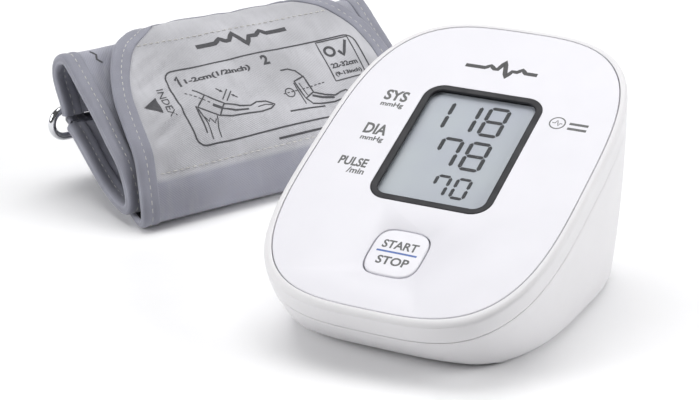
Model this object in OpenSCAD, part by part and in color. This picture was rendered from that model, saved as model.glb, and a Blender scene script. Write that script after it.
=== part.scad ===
// Upper arm blood pressure monitor: a wedge shaped desk unit with a rolled arm cuff beside it.
// Millimetres, +Z up. The origin is the centre of the unit's underside, and -Y is its low front.

/* [Housing] */
// Width of the housing across its rim
body_w = 103; // [95:1:115]
// Depth of the housing across its rim
body_d = 129; // [120:1:140]
// Height of the rim at the back
body_h = 80; // [72:1:90]
// Height of the rim at the front
front_h = 20.6; // [19:0.1:23]
// Squareness of the outline, from a rounder to a squarer superellipse
outline_n = 3.3; // [2.8:0.1:4.0]
// Thickness of the case walls
wall = 2.2; // [1.8:0.1:2.6]
// Height of the upper case's side band under the rim
band_h = 8; // [6:0.5:10]
// How far the sides lean in at the base
side_draft = 5; // [3:0.5:7]
// How far the front leans in at the base
front_draft = 19; // [15:1:21]

/* [Face] */
// Half width of the glossy face panel
panel_u = 49.0; // [46:0.1:49.4]
// Half length of the glossy face panel
panel_v = 68.6; // [65:0.1:69]
// Thickness of the face panel
panel_t = 2.2; // [1.6:0.1:2.4]
// Width of the display frame
display_w = 44.6; // [40:0.2:46]
// Length of the display frame
display_l = 57.6; // [52:0.2:60]
// Place of the display frame's centre up the face
display_v = 7.5; // [5:0.5:9]
// Width of the dark border of the display
display_border = 3.0; // [2:0.2:4]
// Width of the start button
button_w = 18.8; // [16:0.2:20]
// Length of the start button
button_l = 20.0; // [17:0.2:21]
// Place of the button's centre up the face
button_v = -43.7; // [-46:0.1:-42]

/* [Power and air] */
// Diameter of one AA cell
cell_d = 14.3; // [14:0.1:14.5]
// Length of one AA cell with its nub
cell_l = 50.3; // [49.5:0.1:50.5]
// Diameter of the pump's motor
motor_d = 24; // [22:1:24]
// Bore radius of the air jack
air_bore = 2.25; // [2:0.05:2.6]
// Bore radius of the power jack's mouth
dc_bore = 2.85; // [2.75:0.05:3]

/* [Cuff] */
// Width of the cuff band, along the arm
cuff_w = 140; // [130:1:150]
// Thickness of the air-filled part of the band
band_t = 3.0; // [2.8:0.1:3.2]
// Thickness of the tail of the band
tail_t = 2.2; // [2:0.1:2.4]
// Width of the bias tape along the band's edges
tape_w = 7; // [7:0.5:10]
// Direction of the cuff's axis, turned from +X
cuff_turn = 62.5; // [60:0.5:65]
// Wire radius of the metal ring
wire_r = 1.5; // [1.2:0.1:1.7]

/* [Hidden] */
$fn = 48;

tilt = atan((body_h - front_h) / body_d);
half_w = body_w / 2;
half_d = body_d / 2;
face_z = (front_h + body_h) / 2;
rear_draft = 0.8;
side_bulge = 0.8;
draft_power = 1.3;
base_round = 3;
part_gap = 0.15;
ring_n = 64;
groove = 0.3;
pocket_w = panel_t + 0.2;
floor_t = 2.0;
eps = 0.01;

// ---- the housing's skin ----
// Radius of the superellipse with half axes a and b, in direction t.
function outline_r(t, a, b) =
    pow(pow(abs(cos(t)) / a, outline_n) + pow(abs(sin(t)) / b, outline_n), -1 / outline_n);
function outline_pt(t, a, b) = outline_r(t, a, b) * [cos(t), sin(t)];
// Outward direction of the outline at p.
function outline_dir(p, a, b) =
    let (g = [sign(p.x) * pow(abs(p.x), outline_n - 1) / pow(a, outline_n),
              sign(p.y) * pow(abs(p.y), outline_n - 1) / pow(b, outline_n)])
    g / norm(g);
// Height of the sloping rim plane over y.
function rim_z(y) = front_h + (y + half_d) * tan(tilt);
// How far the wall leans in, d of the way from the rim to the base, facing y.
function lean(d, y) =
    let (k = pow(y / half_d, 2))
    let (draft = side_draft + ((y < 0 ? front_draft : rear_draft) - side_draft) * k)
    draft * (1 - pow(1 - pow(d, draft_power), 1 / draft_power)) - 4 * side_bulge * d * (1 - d);
// The case's wall in direction t at height z, inset by off from the outside.
function wall_pt(t, z, off) =
    let (a = half_w - off, b = half_d - off)
    let (p = outline_pt(t, a, b))
    let (d = min(1, max(0, 1 - z / rim_z(p.y))))
    let (low = max(0, base_round - (z - (off > 0 ? wall : 0))))
    let (round_in = base_round - sqrt(base_round * base_round - low * low))
    let (q = p - outline_dir(p, a, b) * (lean(d, p.y * half_d / b) + round_in))
    [q.x, q.y, z];
function turns() = [for (i = [0:ring_n - 1]) 360 * i / ring_n];
// A ring at a share k of the height between the base and the parting line.
function case_ring(k, off, base_z) = [
    for (t = turns())
    let (p = outline_pt(t, half_w - off, half_d - off))
    let (top = rim_z(p.y) - band_h)
    wall_pt(t, base_z + (top - base_z) * k, off)
];
// A ring in the upper case's band, drop below the rim.
function band_ring(drop, off) = [
    for (t = turns())
    let (p = outline_pt(t, half_w - off, half_d - off))
    wall_pt(t, rim_z(p.y) - drop, off)
];
// A point given across, up and out of the sloping face.
function face_pt(u, v, w) = [u, v * cos(tilt) - w * sin(tilt), face_z + v * sin(tilt) + w * cos(tilt)];
function face_ring(a, b, w) = [for (t = turns()) let (p = outline_pt(t, a, b)) face_pt(p.x, p.y, w)];
// The rim's rounded edge: inset by k and lowered by d.
function rim_ring(k, d) = [
    for (t = turns())
    let (p = outline_pt(t, half_w - k, half_d - k))
    [p.x, p.y, rim_z(p.y) - d]
];

// One closed skin over a stack of rings with the same number of points, capped at both ends.
module skin(rings) {
    n = len(rings[0]);
    m = len(rings);
    polyhedron(
        points = [for (r = rings) each r],
        faces = concat(
            [[for (i = [0:n - 1]) i]],
            [for (j = [0:m - 2], i = [0:n - 1]) each
                let (a = j * n + i, b = j * n + (i + 1) % n)
                [[a, a + n, b + n], [a, b + n, b]]],
            [[for (i = [n - 1:-1:0]) (m - 1) * n + i]]
        ),
        convexity = 6
    );
}

// Puts its children in the face's own frame: X across, Y up the slope, Z out of the face.
module on_face(u = 0, v = 0, w = 0) {
    translate([0, 0, face_z]) rotate([tilt, 0, 0]) translate([u, v, w]) children();
}

// A rectangle with round corners, centred.
module round_rect(w, l, r) {
    square([w - 2 * r, l], center = true);
    square([w, l - 2 * r], center = true);
    for (x = [-1, 1], y = [-1, 1]) translate([x * (w / 2 - r), y * (l / 2 - r)]) circle(r);
}

// A rounded plate with its underside at height w.
module round_plate(w, l, r, t) {
    linear_extrude(t) round_rect(w, l, r);
}

// ---- screws, posts and bosses ----
post_places = [[-34, -36], [34, -36], [-38, 43], [38, 43]];
boss_top = 13;
screw_r = 1.5;

module boss() {
    cylinder(r = 4.2, h = boss_top);
}

// ---- battery compartment ----
bay_x = 30.5;
bay_y0 = 22;
bay_y1 = 54.5;
bay_top = 33;
bay_wall = 1.5;
cover_t = 1.8;
cover_rise = 0.3;
hinge_y = bay_y0 - 0.4;
hinge_z = cover_rise + cover_t / 2;
cell_y = [(bay_y0 + bay_y1) / 2 - 7.9, (bay_y0 + bay_y1) / 2 + 7.9];
cell_z = [10, 25.2];

// ---- jacks ----
jack_y = -4;
jack_z = 18;
jack_face = -50.9;
flange_t = 1.6;
dc_x = 22;
dc_z = 44;

module lower_case() {
    color("#f0f0f2")
    difference() {
        union() {
            skin(concat(
                [for (k = [0, 0.03, 0.08, 0.18, 0.4, 0.7, 1]) case_ring(k, 0, 0)],
                [for (k = [1, 0.55, 0.2, 0.06, 0]) case_ring(k, wall, wall)]
            ));
            for (p = post_places) translate([p.x, p.y, 0.6]) boss();
            // a rest for the valve
            translate([valve_x - 5, valve_y - 5, 0.6]) cube([10, 10, valve_z - 0.6]);
            translate([-bay_x - bay_wall, bay_y0 - bay_wall, 0.6])
                cube([2 * (bay_x + bay_wall), bay_y1 - bay_y0 + 2 * bay_wall, bay_top + bay_wall - 0.6]);
        }
        // the battery bay and its door opening
        translate([-bay_x, bay_y0, -1]) cube([2 * bay_x, bay_y1 - bay_y0, bay_top + 1]);
        translate([-bay_x - 0.25, hinge_y - cover_t / 2 - 0.25, -1])
            cube([2 * bay_x + 0.5, bay_y1 - hinge_y + cover_t / 2 + 0.9, 1 + cover_rise + cover_t + 0.1]);
        for (p = post_places) translate([p.x, p.y, -1]) {
            cylinder(r = screw_r + 0.2, h = 40);
            cylinder(r = 3.2, h = 8);
        }
        for (p = pad_places) translate([p.x, p.y, -1]) cylinder(r = 5.05, h = 2.2);
        // air jack and power jack openings
        translate([-half_w - 2, jack_y, jack_z]) rotate([0, 90, 0]) cylinder(r = 4.55, h = 8);
        translate([jack_face - 3, jack_y, jack_z]) rotate([0, 90, 0]) cylinder(r = 6.25, h = 3.05 + flange_t);
        translate([dc_x, half_d + 3, dc_z]) rotate([90, 0, 0]) cylinder(r = 4.05, h = 8);
    }
}

module upper_case() {
    color("#f4f4f6")
    difference() {
        union() {
            skin(concat(
                [face_ring(panel_u - 3, panel_v - 3.4, -pocket_w - floor_t)],
                [band_ring(6.2, wall + 0.4)],
                [band_ring(band_h - part_gap, wall)],
                [band_ring(band_h - part_gap, 0)],
                [band_ring(5, 0), band_ring(2, 0), rim_ring(0.25, 0.9), rim_ring(0.9, 0.25), rim_ring(1.6, 0)],
                [face_ring(panel_u + groove, panel_v + groove, 0)],
                [face_ring(panel_u + groove, panel_v + groove, -pocket_w)]
            ));
            for (p = post_places) intersection() {
                translate([p.x, p.y, boss_top + 0.6]) cylinder(r = 3.4, h = 70);
                on_face(0, 0, -pocket_w - 80) translate([-60, -80, 0]) cube([120, 160, 79.5]);
            }
        }
        on_face(0, display_v, -8) round_plate(display_w - 3.4, display_l - 3.4, 1, 9);
        on_face(0, button_v, -8) round_plate(button_w + 3.4, button_l + 3.4, 6, 9);
        for (p = post_places) translate([p.x, p.y, 0]) cylinder(r = screw_r + 0.02, h = boss_top + 10);
    }
}

module face_panel() {
    color("#fbfbfd")
    difference() {
        skin([face_ring(panel_u, panel_v, -panel_t), face_ring(panel_u, panel_v, -0.3),
              face_ring(panel_u - 0.3, panel_v - 0.3, 0)]);
        on_face(0, display_v, -4) round_plate(display_w + 0.1, display_l + 0.1, 7.05, 8);
        on_face(0, button_v, -4) round_plate(button_w + 0.7, button_l + 0.7, 6.35, 8);
    }
}

// ---- display ----
module display_bezel() {
    color("#4b4b50")
    on_face(0, display_v)
    difference() {
        translate([0, 0, -panel_t]) round_plate(display_w, display_l, 7, panel_t + 0.15);
        translate([0, 0, -panel_t - 1])
            round_plate(display_w - 2 * display_border, display_l - 2 * display_border, 4.2, 9);
        translate([0, 0, -panel_t - 1])
            round_plate(display_w - 2 * display_border + 2, display_l - 2 * display_border + 2, 5.2, 2.2);
    }
}

module display_window() {
    color("#dfe6ee", 0.4)
    on_face(0, display_v, -panel_t)
        round_plate(display_w - 2 * display_border + 1.9, display_l - 2 * display_border + 1.9, 5.1, 1.15);
}

lcd_w = display_w - 3.8;
lcd_l = display_l - 3.8;
board_w = -10.6;
board_t = 1.6;

module lcd_panel() {
    color("#b9c2c9")
    on_face(0, display_v, -4.6) {
        translate([0, 1.2, 1]) round_plate(lcd_w - 0.4, lcd_l - 2.8, 0.5, 1.15);
        round_plate(lcd_w, lcd_l, 0.5, 1.1);
    }
}

module lcd_holder() {
    color("#e8e8ea")
    on_face(0, display_v)
    difference() {
        translate([0, 0, board_w + board_t]) round_plate(lcd_w + 3, lcd_l + 3, 2, 4.4);
        translate([0, 0, -20]) round_plate(lcd_w - 3, lcd_l - 10, 1.5, 30);
        for (s = [-1, 1]) translate([0, s * (lcd_l / 2 - 2.6), -20]) round_plate(lcd_w - 3, 2.4, 0.5, 30);
    }
}

module lcd_connectors() {
    color("#d87a8a")
    for (s = [-1, 1]) on_face(0, display_v + s * (lcd_l / 2 - 2.6), board_w + board_t)
        translate([-(lcd_w - 4) / 2, -1, 0]) cube([lcd_w - 4, 2, -4.6 - board_w - board_t]);
}

// ---- circuit board ----
board_hw = 28;
board_v0 = -53;
board_v1 = 42;
board_holes = [[-25, -50], [25, -50], [-25, 39], [25, 39]];

module main_board() {
    color("#2e6b45")
    on_face(0, 0, board_w)
    difference() {
        translate([-board_hw, board_v0, 0]) cube([2 * board_hw, board_v1 - board_v0, board_t]);
        for (p = board_holes) translate([p.x, p.y, -1]) cylinder(r = 1.25, h = 4);
    }
}

module board_chips() {
    color("#26262a") {
        on_face(2, 4, board_w - 1.5) translate([-6, -6, 0]) cube([12, 12, 1.5]);
        on_face(-16, -18, board_w - 1.4) translate([-2.5, -2, 0]) cube([5, 4, 1.4]);
        on_face(16, -20, board_w - 1.4) translate([-2.5, -2, 0]) cube([5, 4, 1.4]);
        for (i = [0:5]) on_face(-14 + 5 * i, -28, board_w - 0.8) translate([-1, -0.6, 0]) cube([2, 1.2, 0.8]);
        on_face(18, 22, board_w - 5) cylinder(r = 2.5, h = 5);
        on_face(18, 30, board_w - 5) cylinder(r = 2.5, h = 5);
        on_face(10, -30, board_w - 3) translate([-5, -2, 0]) cube([10, 4, 3]);
    }
}

module board_screws() {
    color("#9a9ca0")
    for (p = board_holes) on_face(p.x, p.y, board_w) {
        translate([0, 0, -1.4]) cylinder(r = 2.3, h = 1.4);
        translate([0, 0, -0.1]) cylinder(r = 1.1, h = 4.5);
    }
}

sensor_u = -20;
sensor_v = 8.7;
sensor_drop = 4;

module pressure_sensor() {
    color("#c8c9cc")
    on_face(sensor_u, sensor_v, board_w)
    difference() {
        union() {
            translate([-6, -6, -7]) cube([12, 12, 7]);
            translate([-11, 0, -sensor_drop]) rotate([0, 90, 0]) cylinder(r = 1.2, h = 6);
        }
        translate([-12, 0, -sensor_drop]) rotate([0, 90, 0]) cylinder(r = 0.6, h = 12);
    }
}

// ---- start and stop button ----
switch_top = -6.9;

module tact_switch() {
    color("#3a3a3e")
    on_face(0, button_v)
    difference() {
        translate([-3, -3, board_w + board_t]) cube([6, 6, switch_top - board_w - board_t]);
        translate([0, 0, -8.7]) cylinder(r = 1.75, h = 3);
    }
}

module switch_plunger() {
    color("#8d8f94")
    on_face(0, button_v, -7.9) cylinder(r = 1.68, h = 2);
}

module start_stop_button() {
    color("#f6f6f8")
    on_face(0, button_v) {
        translate([0, 0, -2.9]) round_plate(button_w, button_l, 6, 3.1);
        translate([0, 0, -3.7]) round_plate(button_w + 2.4, button_l + 2.4, 6.6, 0.9);
        translate([0, 0, -5.9]) cylinder(r = 2.2, h = 2.4);
    }
}

module case_screws() {
    color("#a9abb0")
    for (p = post_places) translate([p.x, p.y, 0]) difference() {
        union() {
            translate([0, 0, 4.6]) cylinder(r = 2.9, h = 2.4);
            translate([0, 0, 6.9]) cylinder(r = screw_r, h = 14);
        }
        translate([0, 0, 4]) for (a = [0, 90]) rotate(a) translate([-1.8, -0.35, 0]) cube([3.6, 0.7, 1.8]);
    }
}

// The pads sit in shallow recesses, level with the base.
pad_places = [[-33, -20], [33, -20], [-40, 22], [40, 22]];

module base_pads() {
    color("#6f7278")
    for (p = pad_places) translate([p.x, p.y, 0]) cylinder(r = 5, h = 1.2);
}

// ---- batteries ----
module battery_cover() {
    color("#eeeef0")
    difference() {
        union() {
            translate([-bay_x, hinge_y, cover_rise]) cube([2 * bay_x, bay_y1 - hinge_y + 0.3, cover_t]);
            translate([-bay_x, hinge_y, hinge_z]) rotate([0, 90, 0]) cylinder(r = cover_t / 2, h = 2 * bay_x);
            translate([-bay_x + 3, bay_y0 + 8, cover_rise + cover_t]) cube([1.2, 20, 0.6]);
            translate([bay_x - 4.2, bay_y0 + 8, cover_rise + cover_t]) cube([1.2, 20, 0.6]);
        }
        for (i = [0:3]) translate([-9, bay_y1 - 4 - 2.4 * i, cover_rise - 0.4]) cube([18, 1.2, 0.9]);
    }
}

// Each cell points the other way from its neighbours.
function cell_side(i, j) = (i + j) % 2 == 0 ? 1 : -1;

module battery_cells() {
    color("#3f6f8f")
    for (i = [0, 1], j = [0, 1]) {
        side = cell_side(i, j);
        translate([side * (bay_x - 1.1 - cell_l), cell_y[i], cell_z[j]]) rotate([0, side * 90, 0]) {
            cylinder(r = cell_d / 2, h = cell_l - 1.2);
            cylinder(r = 2.7, h = cell_l);
        }
    }
}

// A coil of wire along +Z, narrowing from r0 to r1 over length l.
module coil_spring(r0, r1, l, wire, coils, sides = 6, steps = 12) {
    rings = [for (i = [0:coils * steps])
        let (k = i / (coils * steps), a = 360 * i / steps, r = r0 + (r1 - r0) * k)
        [for (j = [0:sides - 1])
            let (b = 360 * j / sides, q = r + wire * cos(b))
            [q * cos(a), q * sin(a), wire + (l - 2 * wire) * k + wire * sin(b)]]];
    skin([for (i = [len(rings) - 1:-1:0]) rings[i]]);
}

module battery_springs() {
    color("#c9cbd0")
    for (i = [0, 1], j = [0, 1]) {
        side = cell_side(i, j);
        translate([-side * (bay_x - 0.6), cell_y[i], cell_z[j]]) rotate([0, side * 90, 0])
            coil_spring(4.6, 2.6, 2 * bay_x - 1.7 - cell_l, 0.4, 4);
    }
}

module battery_contacts() {
    color("#c4c6cc")
    for (s = [-1, 1], i = [0, 1], j = [0, 1]) {
        x = s > 0 ? bay_x - 0.6 : -bay_x;
        translate([x, cell_y[i] - 5.5, cell_z[j] - 5.5]) cube([0.6, 11, 11]);
        if (s == cell_side(i, j)) translate([s * (bay_x - 0.85) - 0.25, cell_y[i], cell_z[j]])
            rotate([0, 90, 0]) cylinder(r = 2, h = 0.5);
    }
}

// ---- pump ----
pump_y = 2;
pump_z = 16;
motor_x = 5;
motor_l = 27;
head_x = -19;

module along_pump(x) {
    translate([x, pump_y, pump_z]) rotate([0, 90, 0]) children();
}

module motor_can() {
    color("#b7b9be")
    difference() {
        along_pump(motor_x) cylinder(r = motor_d / 2, h = motor_l);
        along_pump(motor_x + 1) cylinder(r = motor_d / 2 - 1, h = motor_l - 2);
        along_pump(motor_x - 1) cylinder(r = 3, h = motor_l + 2);
    }
}

module motor_bearings() {
    color("#b08d57")
    for (x = [motor_x, motor_x + motor_l - 2]) difference() {
        along_pump(x) cylinder(r = 3, h = 2);
        along_pump(x - 1) cylinder(r = 1.05, h = 4);
    }
}

module motor_magnets() {
    color("#55565a")
    for (s = [-1, 1]) intersection() {
        difference() {
            along_pump(motor_x + 5) cylinder(r = motor_d / 2 - 1, h = motor_l - 10);
            along_pump(motor_x + 4) cylinder(r = motor_d / 2 - 3.2, h = motor_l - 8);
        }
        translate([motor_x, pump_y - 8, pump_z + (s > 0 ? 4 : -20)]) cube([motor_l, 16, 16]);
    }
}

module motor_rotor() {
    color("#a8653a") {
        along_pump(head_x + 8) cylinder(r = 1, h = motor_x + motor_l + 1 - head_x - 8);
        along_pump(motor_x + 7) cylinder(r = motor_d / 2 - 4, h = motor_l - 14);
        along_pump(motor_x + motor_l - 6) cylinder(r = 3, h = 3.5);
    }
}

module pump_crank() {
    color("#dcdcd2")
    difference() {
        union() {
            along_pump(head_x + 10) cylinder(r = 5, h = 5);
            along_pump(head_x + 5) translate([3, 0, 0]) cylinder(r = 1.2, h = 5.5);
        }
        along_pump(head_x + 7.9) cylinder(r = 1, h = 9);
    }
}

module pump_housing() {
    color("#e4e4e0")
    difference() {
        translate([head_x, pump_y - 11, pump_z - 11]) cube([motor_x - head_x, 22, 22]);
        along_pump(head_x - 1) cylinder(r = 9, h = motor_x - head_x - 1.5);
        along_pump(head_x - 1) cylinder(r = 3.2, h = motor_x - head_x + 2);
    }
}

module pump_diaphragm() {
    color("#3c3c40")
    difference() {
        union() {
            translate([head_x - 1.2, pump_y - 11, pump_z - 11]) cube([1.2, 22, 22]);
            for (a = [90, 210, 330]) translate([head_x - eps, pump_y + 4.6 * cos(a), pump_z + 4.6 * sin(a)])
                rotate([0, 90, 0]) cylinder(r = 3.4, h = 3);
        }
        for (a = [90, 210, 330]) translate([head_x - 2, pump_y + 4.6 * cos(a), pump_z + 4.6 * sin(a)])
            rotate([0, 90, 0]) cylinder(r = 2.6, h = 4.4);
    }
}

nozzle_y = 9;
nozzle_z = jack_z;

module pump_lid() {
    color("#e4e4e0")
    difference() {
        union() {
            translate([head_x - 5.2, pump_y - 11, pump_z - 11]) cube([4, 22, 22]);
            translate([head_x - 9.2, nozzle_y, nozzle_z]) rotate([0, 90, 0]) cylinder(r = 1.6, h = 4.2);
        }
        translate([head_x - 10, nozzle_y, nozzle_z]) rotate([0, 90, 0]) cylinder(r = 0.8, h = 8);
    }
}

// A foam saddle glued to the base holds the pump.
module pump_cushion() {
    color("#8f9297")
    difference() {
        translate([motor_x + 1, pump_y - 13, wall]) cube([motor_l - 4, 26, pump_z - wall - 2]);
        along_pump(motor_x) cylinder(r = motor_d / 2 + 0.05, h = motor_l);
    }
}

// ---- air valve ----
valve_x = -34;
valve_y = -24;
valve_z = wall + 1.2;
valve_h = 15.8;

module valve_yoke() {
    color("#b9bbc0")
    translate([valve_x, valve_y, valve_z])
    difference() {
        translate([-6, -6, 0]) cube([12, 12, valve_h]);
        translate([-7, -5.2, 1]) cube([14, 10.4, valve_h - 2]);
        translate([0, 0, valve_h - 2]) cylinder(r = 2.2, h = 4);
    }
}

module valve_coil() {
    color("#b5652f")
    translate([valve_x, valve_y, valve_z + 1])
    difference() {
        cylinder(r = 5, h = valve_h - 2);
        translate([0, 0, 2]) cylinder(r = 2.05, h = valve_h);
    }
}

plunger_z = valve_z + 6.5;

module valve_plunger() {
    color("#c7c9ce")
    translate([valve_x, valve_y, plunger_z]) cylinder(r = 1.98, h = valve_h - 5.3);
}

module valve_spring() {
    color("#d0d2d6")
    translate([valve_x, valve_y, valve_z + 3]) coil_spring(1.5, 1.5, plunger_z - valve_z - 3, 0.2, 5);
}

module valve_head() {
    color("#e4e4e0")
    translate([valve_x, valve_y, valve_z + valve_h])
    difference() {
        union() {
            translate([-6, -6, 0]) cube([12, 12, 6]);
            translate([0, 5.9, 2.8]) rotate([-90, 0, 0]) cylinder(r = 1.6, h = 4.1);
        }
        translate([0, 0, -1]) cylinder(r = 3, h = 5);
        translate([0, 0, 2.8]) rotate([-90, 0, 0]) cylinder(r = 0.8, h = 12);
    }
}

module valve_seal() {
    color("#2f2f33")
    translate([valve_x, valve_y, valve_z + valve_h + 2.2]) cylinder(r = 2.95, h = 1.8);
}

// ---- air path ----
sensor_tip = face_pt(sensor_u - 11, sensor_v, board_w - sensor_drop);
air_x = -34;
manifold_x = air_x - 4;
manifold_y = -9;
air_z = valve_z + valve_h + 2.8;
manifold_z = 11;

module air_manifold() {
    color("#dcdcd8")
    difference() {
        union() {
            translate([manifold_x, manifold_y, manifold_z]) cube([8, sensor_tip.y + 3 - manifold_y, 14]);
            translate([air_x, manifold_y - 4, air_z]) rotate([-90, 0, 0]) cylinder(r = 1.6, h = 4.5);
            translate([air_x, sensor_tip.y, manifold_z + 13.5]) cylinder(r = 1.6, h = 4.5);
        }
        translate([air_x, manifold_y - 5, air_z]) rotate([-90, 0, 0])
            cylinder(r = 0.8, h = 6 + sensor_tip.y - manifold_y);
        translate([air_x, sensor_tip.y, manifold_z + 3]) cylinder(r = 0.8, h = 20);
        translate([air_x, jack_y, jack_z]) rotate([-90, 0, 0]) cylinder(r = 0.8, h = sensor_tip.y + 1 - jack_y);
        translate([air_x, nozzle_y, jack_z]) rotate([0, 90, 0]) cylinder(r = 0.8, h = 6);
        translate([manifold_x - 1, jack_y, jack_z]) rotate([0, 90, 0]) cylinder(r = 0.8, h = 5);
    }
}

// A straight soft tube along +Z.
module soft_tube(l, r = 2.6) {
    difference() {
        cylinder(r = r, h = l);
        translate([0, 0, -1]) cylinder(r = 1.65, h = l + 2);
    }
}

module pump_tube() {
    color("#e9e6df")
    translate([manifold_x + 8, nozzle_y, jack_z]) rotate([0, 90, 0]) soft_tube(head_x - 13.2 - manifold_x);
}

module valve_tube() {
    color("#e9e6df")
    translate([air_x, valve_y + 6, air_z]) rotate([-90, 0, 0]) soft_tube(manifold_y - valve_y - 6);
}

// Up from the manifold, round a quarter bend and across to the sensor.
module sensor_tube() {
    bend = 4;
    foot = manifold_z + 14;
    color("#e9e6df")
    translate([0, sensor_tip.y, 0]) {
        translate([air_x, 0, foot]) soft_tube(sensor_tip.z - bend - foot + eps);
        translate([air_x + bend, 0, sensor_tip.z - bend]) rotate([90, 0, 180]) rotate_extrude(angle = 90)
            translate([bend, 0]) difference() {
                circle(2.6);
                circle(1.65);
            }
        translate([air_x + bend - eps, 0, sensor_tip.z]) rotate([0, 90, 0])
            soft_tube(sensor_tip.x + 5 - air_x - bend);
    }
}

// ---- jacks ----
module air_jack() {
    color("#d9dade")
    difference() {
        union() {
            translate([jack_face, jack_y, jack_z]) rotate([0, 90, 0]) cylinder(r = 6.2, h = flange_t);
            translate([jack_face + 1, jack_y, jack_z]) rotate([0, 90, 0])
                cylinder(r = 4.5, h = manifold_x - jack_face - 1);
        }
        translate([jack_face - 1, jack_y, jack_z]) rotate([0, 90, 0]) cylinder(r = air_bore, h = 9);
        translate([jack_face + 7, jack_y, jack_z]) rotate([0, 90, 0]) cylinder(r = 0.8, h = 8);
    }
}

module dc_jack() {
    color("#2c2c30")
    difference() {
        union() {
            translate([dc_x, half_d - 0.2, dc_z]) rotate([90, 0, 0]) cylinder(r = 4, h = 5);
            translate([dc_x - 5, half_d - 15, dc_z - 5]) cube([10, 10, 10]);
        }
        translate([dc_x, half_d + 1, dc_z]) rotate([90, 0, 0]) cylinder(r = dc_bore, h = 6.2);
        difference() {
            translate([dc_x, half_d + 1, dc_z]) rotate([90, 0, 0]) cylinder(r = dc_bore - 0.65, h = 11);
            translate([dc_x, half_d - 6, dc_z]) rotate([90, 0, 0]) cylinder(r = 0.8, h = 11);
        }
    }
}

// ---- leads ----
module lead(h) {
    cylinder(r = 0.6, h = h);
}

module motor_leads() {
    color("#b03030")
    for (y = [-3, 3]) translate([motor_x + motor_l + 1, pump_y + y, pump_z + 4]) {
        translate([-1, 0, 0]) rotate([0, 90, 0]) cylinder(r = 0.6, h = 1.2);
        lead(12);
    }
}

module battery_leads() {
    color("#303236")
    for (x = [-12, 12]) translate([x, bay_y0 + 6, bay_top + bay_wall]) lead(9);
}

// ---- cuff ----
// The cuff's own frame: X along the arm, Y away from the front, Z up.
cuff_place = [-127.9, 2.8, 0];

module at_cuff() {
    translate(cuff_place) rotate([0, 0, cuff_turn]) children();
}

// A smooth curve through the points, with n steps between each two.
function curve(p, n) =
    let (q = concat([2 * p[0] - p[1]], p, [2 * p[len(p) - 1] - p[len(p) - 2]]))
    concat([for (i = [1:len(p) - 1], k = [0:n - 1])
        let (t = k / n)
        0.5 * (2 * q[i] + (q[i + 1] - q[i - 1]) * t
               + (2 * q[i - 1] - 5 * q[i] + 4 * q[i + 1] - q[i + 2]) * t * t
               + (3 * q[i] - q[i - 1] - 3 * q[i + 1] + q[i + 2]) * t * t * t)], [p[len(p) - 1]]);
// Unit normals to the right of the curve's travel.
function normals(c) = [for (i = [0:len(c) - 1])
    let (d = c[min(i + 1, len(c) - 1)] - c[max(i - 1, 0)])
    [d.y, -d.x] / norm(d)];

// The flattened sleeve, from the ring loop over the top, down the front, round the tip and up the back.
sleeve_pts = [[58.4, 34], [59.4, 38.5], [60.4, 44], [59.7, 48.5], [56.8, 51.9], [52, 53], [46.5, 49.9],
    [40.5, 45.3], [30.5, 37.9], [21, 30.2], [13.5, 23.8], [9.6, 18.6], [6.9, 12.5], [6.8, 7.4], [10, 4.6],
    [17.3, 5.8], [26.2, 10.2], [37, 17.6], [46, 23.6], [51, 26.2]];
// The tail, out through the ring, down to the table, under the sleeve and up its front to the top.
tail_pts = [[52, 26.6], [59, 26.3], [63.3, 22.7], [63.7, 16.5], [60.5, 9], [53, 3.2], [44.5, 1.4], [28, 1.15],
    [10, 1.1], [3, 1.3], [-1.6, 3], [-2.4, 7.5], [-0.2, 13.5], [3.8, 20.3], [8.5, 26.3], [16.8, 33.8],
    [27.5, 42], [38.3, 49.8], [46, 54.9], [52, 57], [54, 57.2], [57.4, 56.3], [60, 54.4], [62.2, 51.6]];
// The tail's left and right edges at each of those points: it narrows towards its end.
tail_left = [2, 3, 7, 13, 16, 17, 15, 9, 4, 2, 1, 1, 2, 3.5, 5, 6, 8, 12.6, 18, 24.5, 30, 33, 38, 47];
tail_right = [132, 132, 133, 134, 134, 134, 134, 134, 134, 134, 134, 134, 134, 134, 134, 134, 133.6, 130.5,
    125, 120, 117.5, 113, 108, 99];

// A closed sheet along a curve, between two offsets from it, from x0 to x1 at each of its points.
module band(c, off0, off1, x0, x1) {
    d = normals(c);
    m = len(c);
    a = [for (i = [0:m - 1]) c[i] + d[i] * off0];
    b = [for (i = [0:m - 1]) c[i] + d[i] * off1];
    skin([for (i = [0:m - 1]) [
        [x0[i], a[i].x, a[i].y], [x1[i], a[i].x, a[i].y],
        [x1[i], b[i].x, b[i].y], [x0[i], b[i].x, b[i].y]]]);
}

function same(c, v) = [for (p = c) v];
function shifted(v, d) = [for (x = v) x + d];
// A plain list of numbers, spread over n steps between each two.
function spread(v, n) = concat(
    [for (i = [0:len(v) - 2], k = [0:n - 1]) v[i] + (v[i + 1] - v[i]) * k / n], [v[len(v) - 1]]);
function part_of(v, i0, i1) = [for (i = [i0:i1]) v[i]];

steps = 3;
sleeve = curve(sleeve_pts, steps);
tail = curve(tail_pts, steps);
tail_x0 = spread(tail_left, steps);
tail_x1 = spread(tail_right, steps);
skin_t = 0.7;

module cuff_cover() {
    color("#c3c4ce")
    at_cuff() band(sleeve, band_t / 2 - skin_t, band_t / 2,
                   same(sleeve, tape_w), same(sleeve, cuff_w - tape_w));
}

module cuff_lining() {
    color("#8c8e9a")
    at_cuff() band(sleeve, -band_t / 2, -band_t / 2 + skin_t,
                   same(sleeve, tape_w), same(sleeve, cuff_w - tape_w));
}

module cuff_bladder() {
    color("#d9d6c8")
    at_cuff() let (c = part_of(sleeve, 8, len(sleeve) - 8))
        band(c, -0.75, 0.75, same(c, 14), same(c, cuff_w - 10));
}

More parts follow.
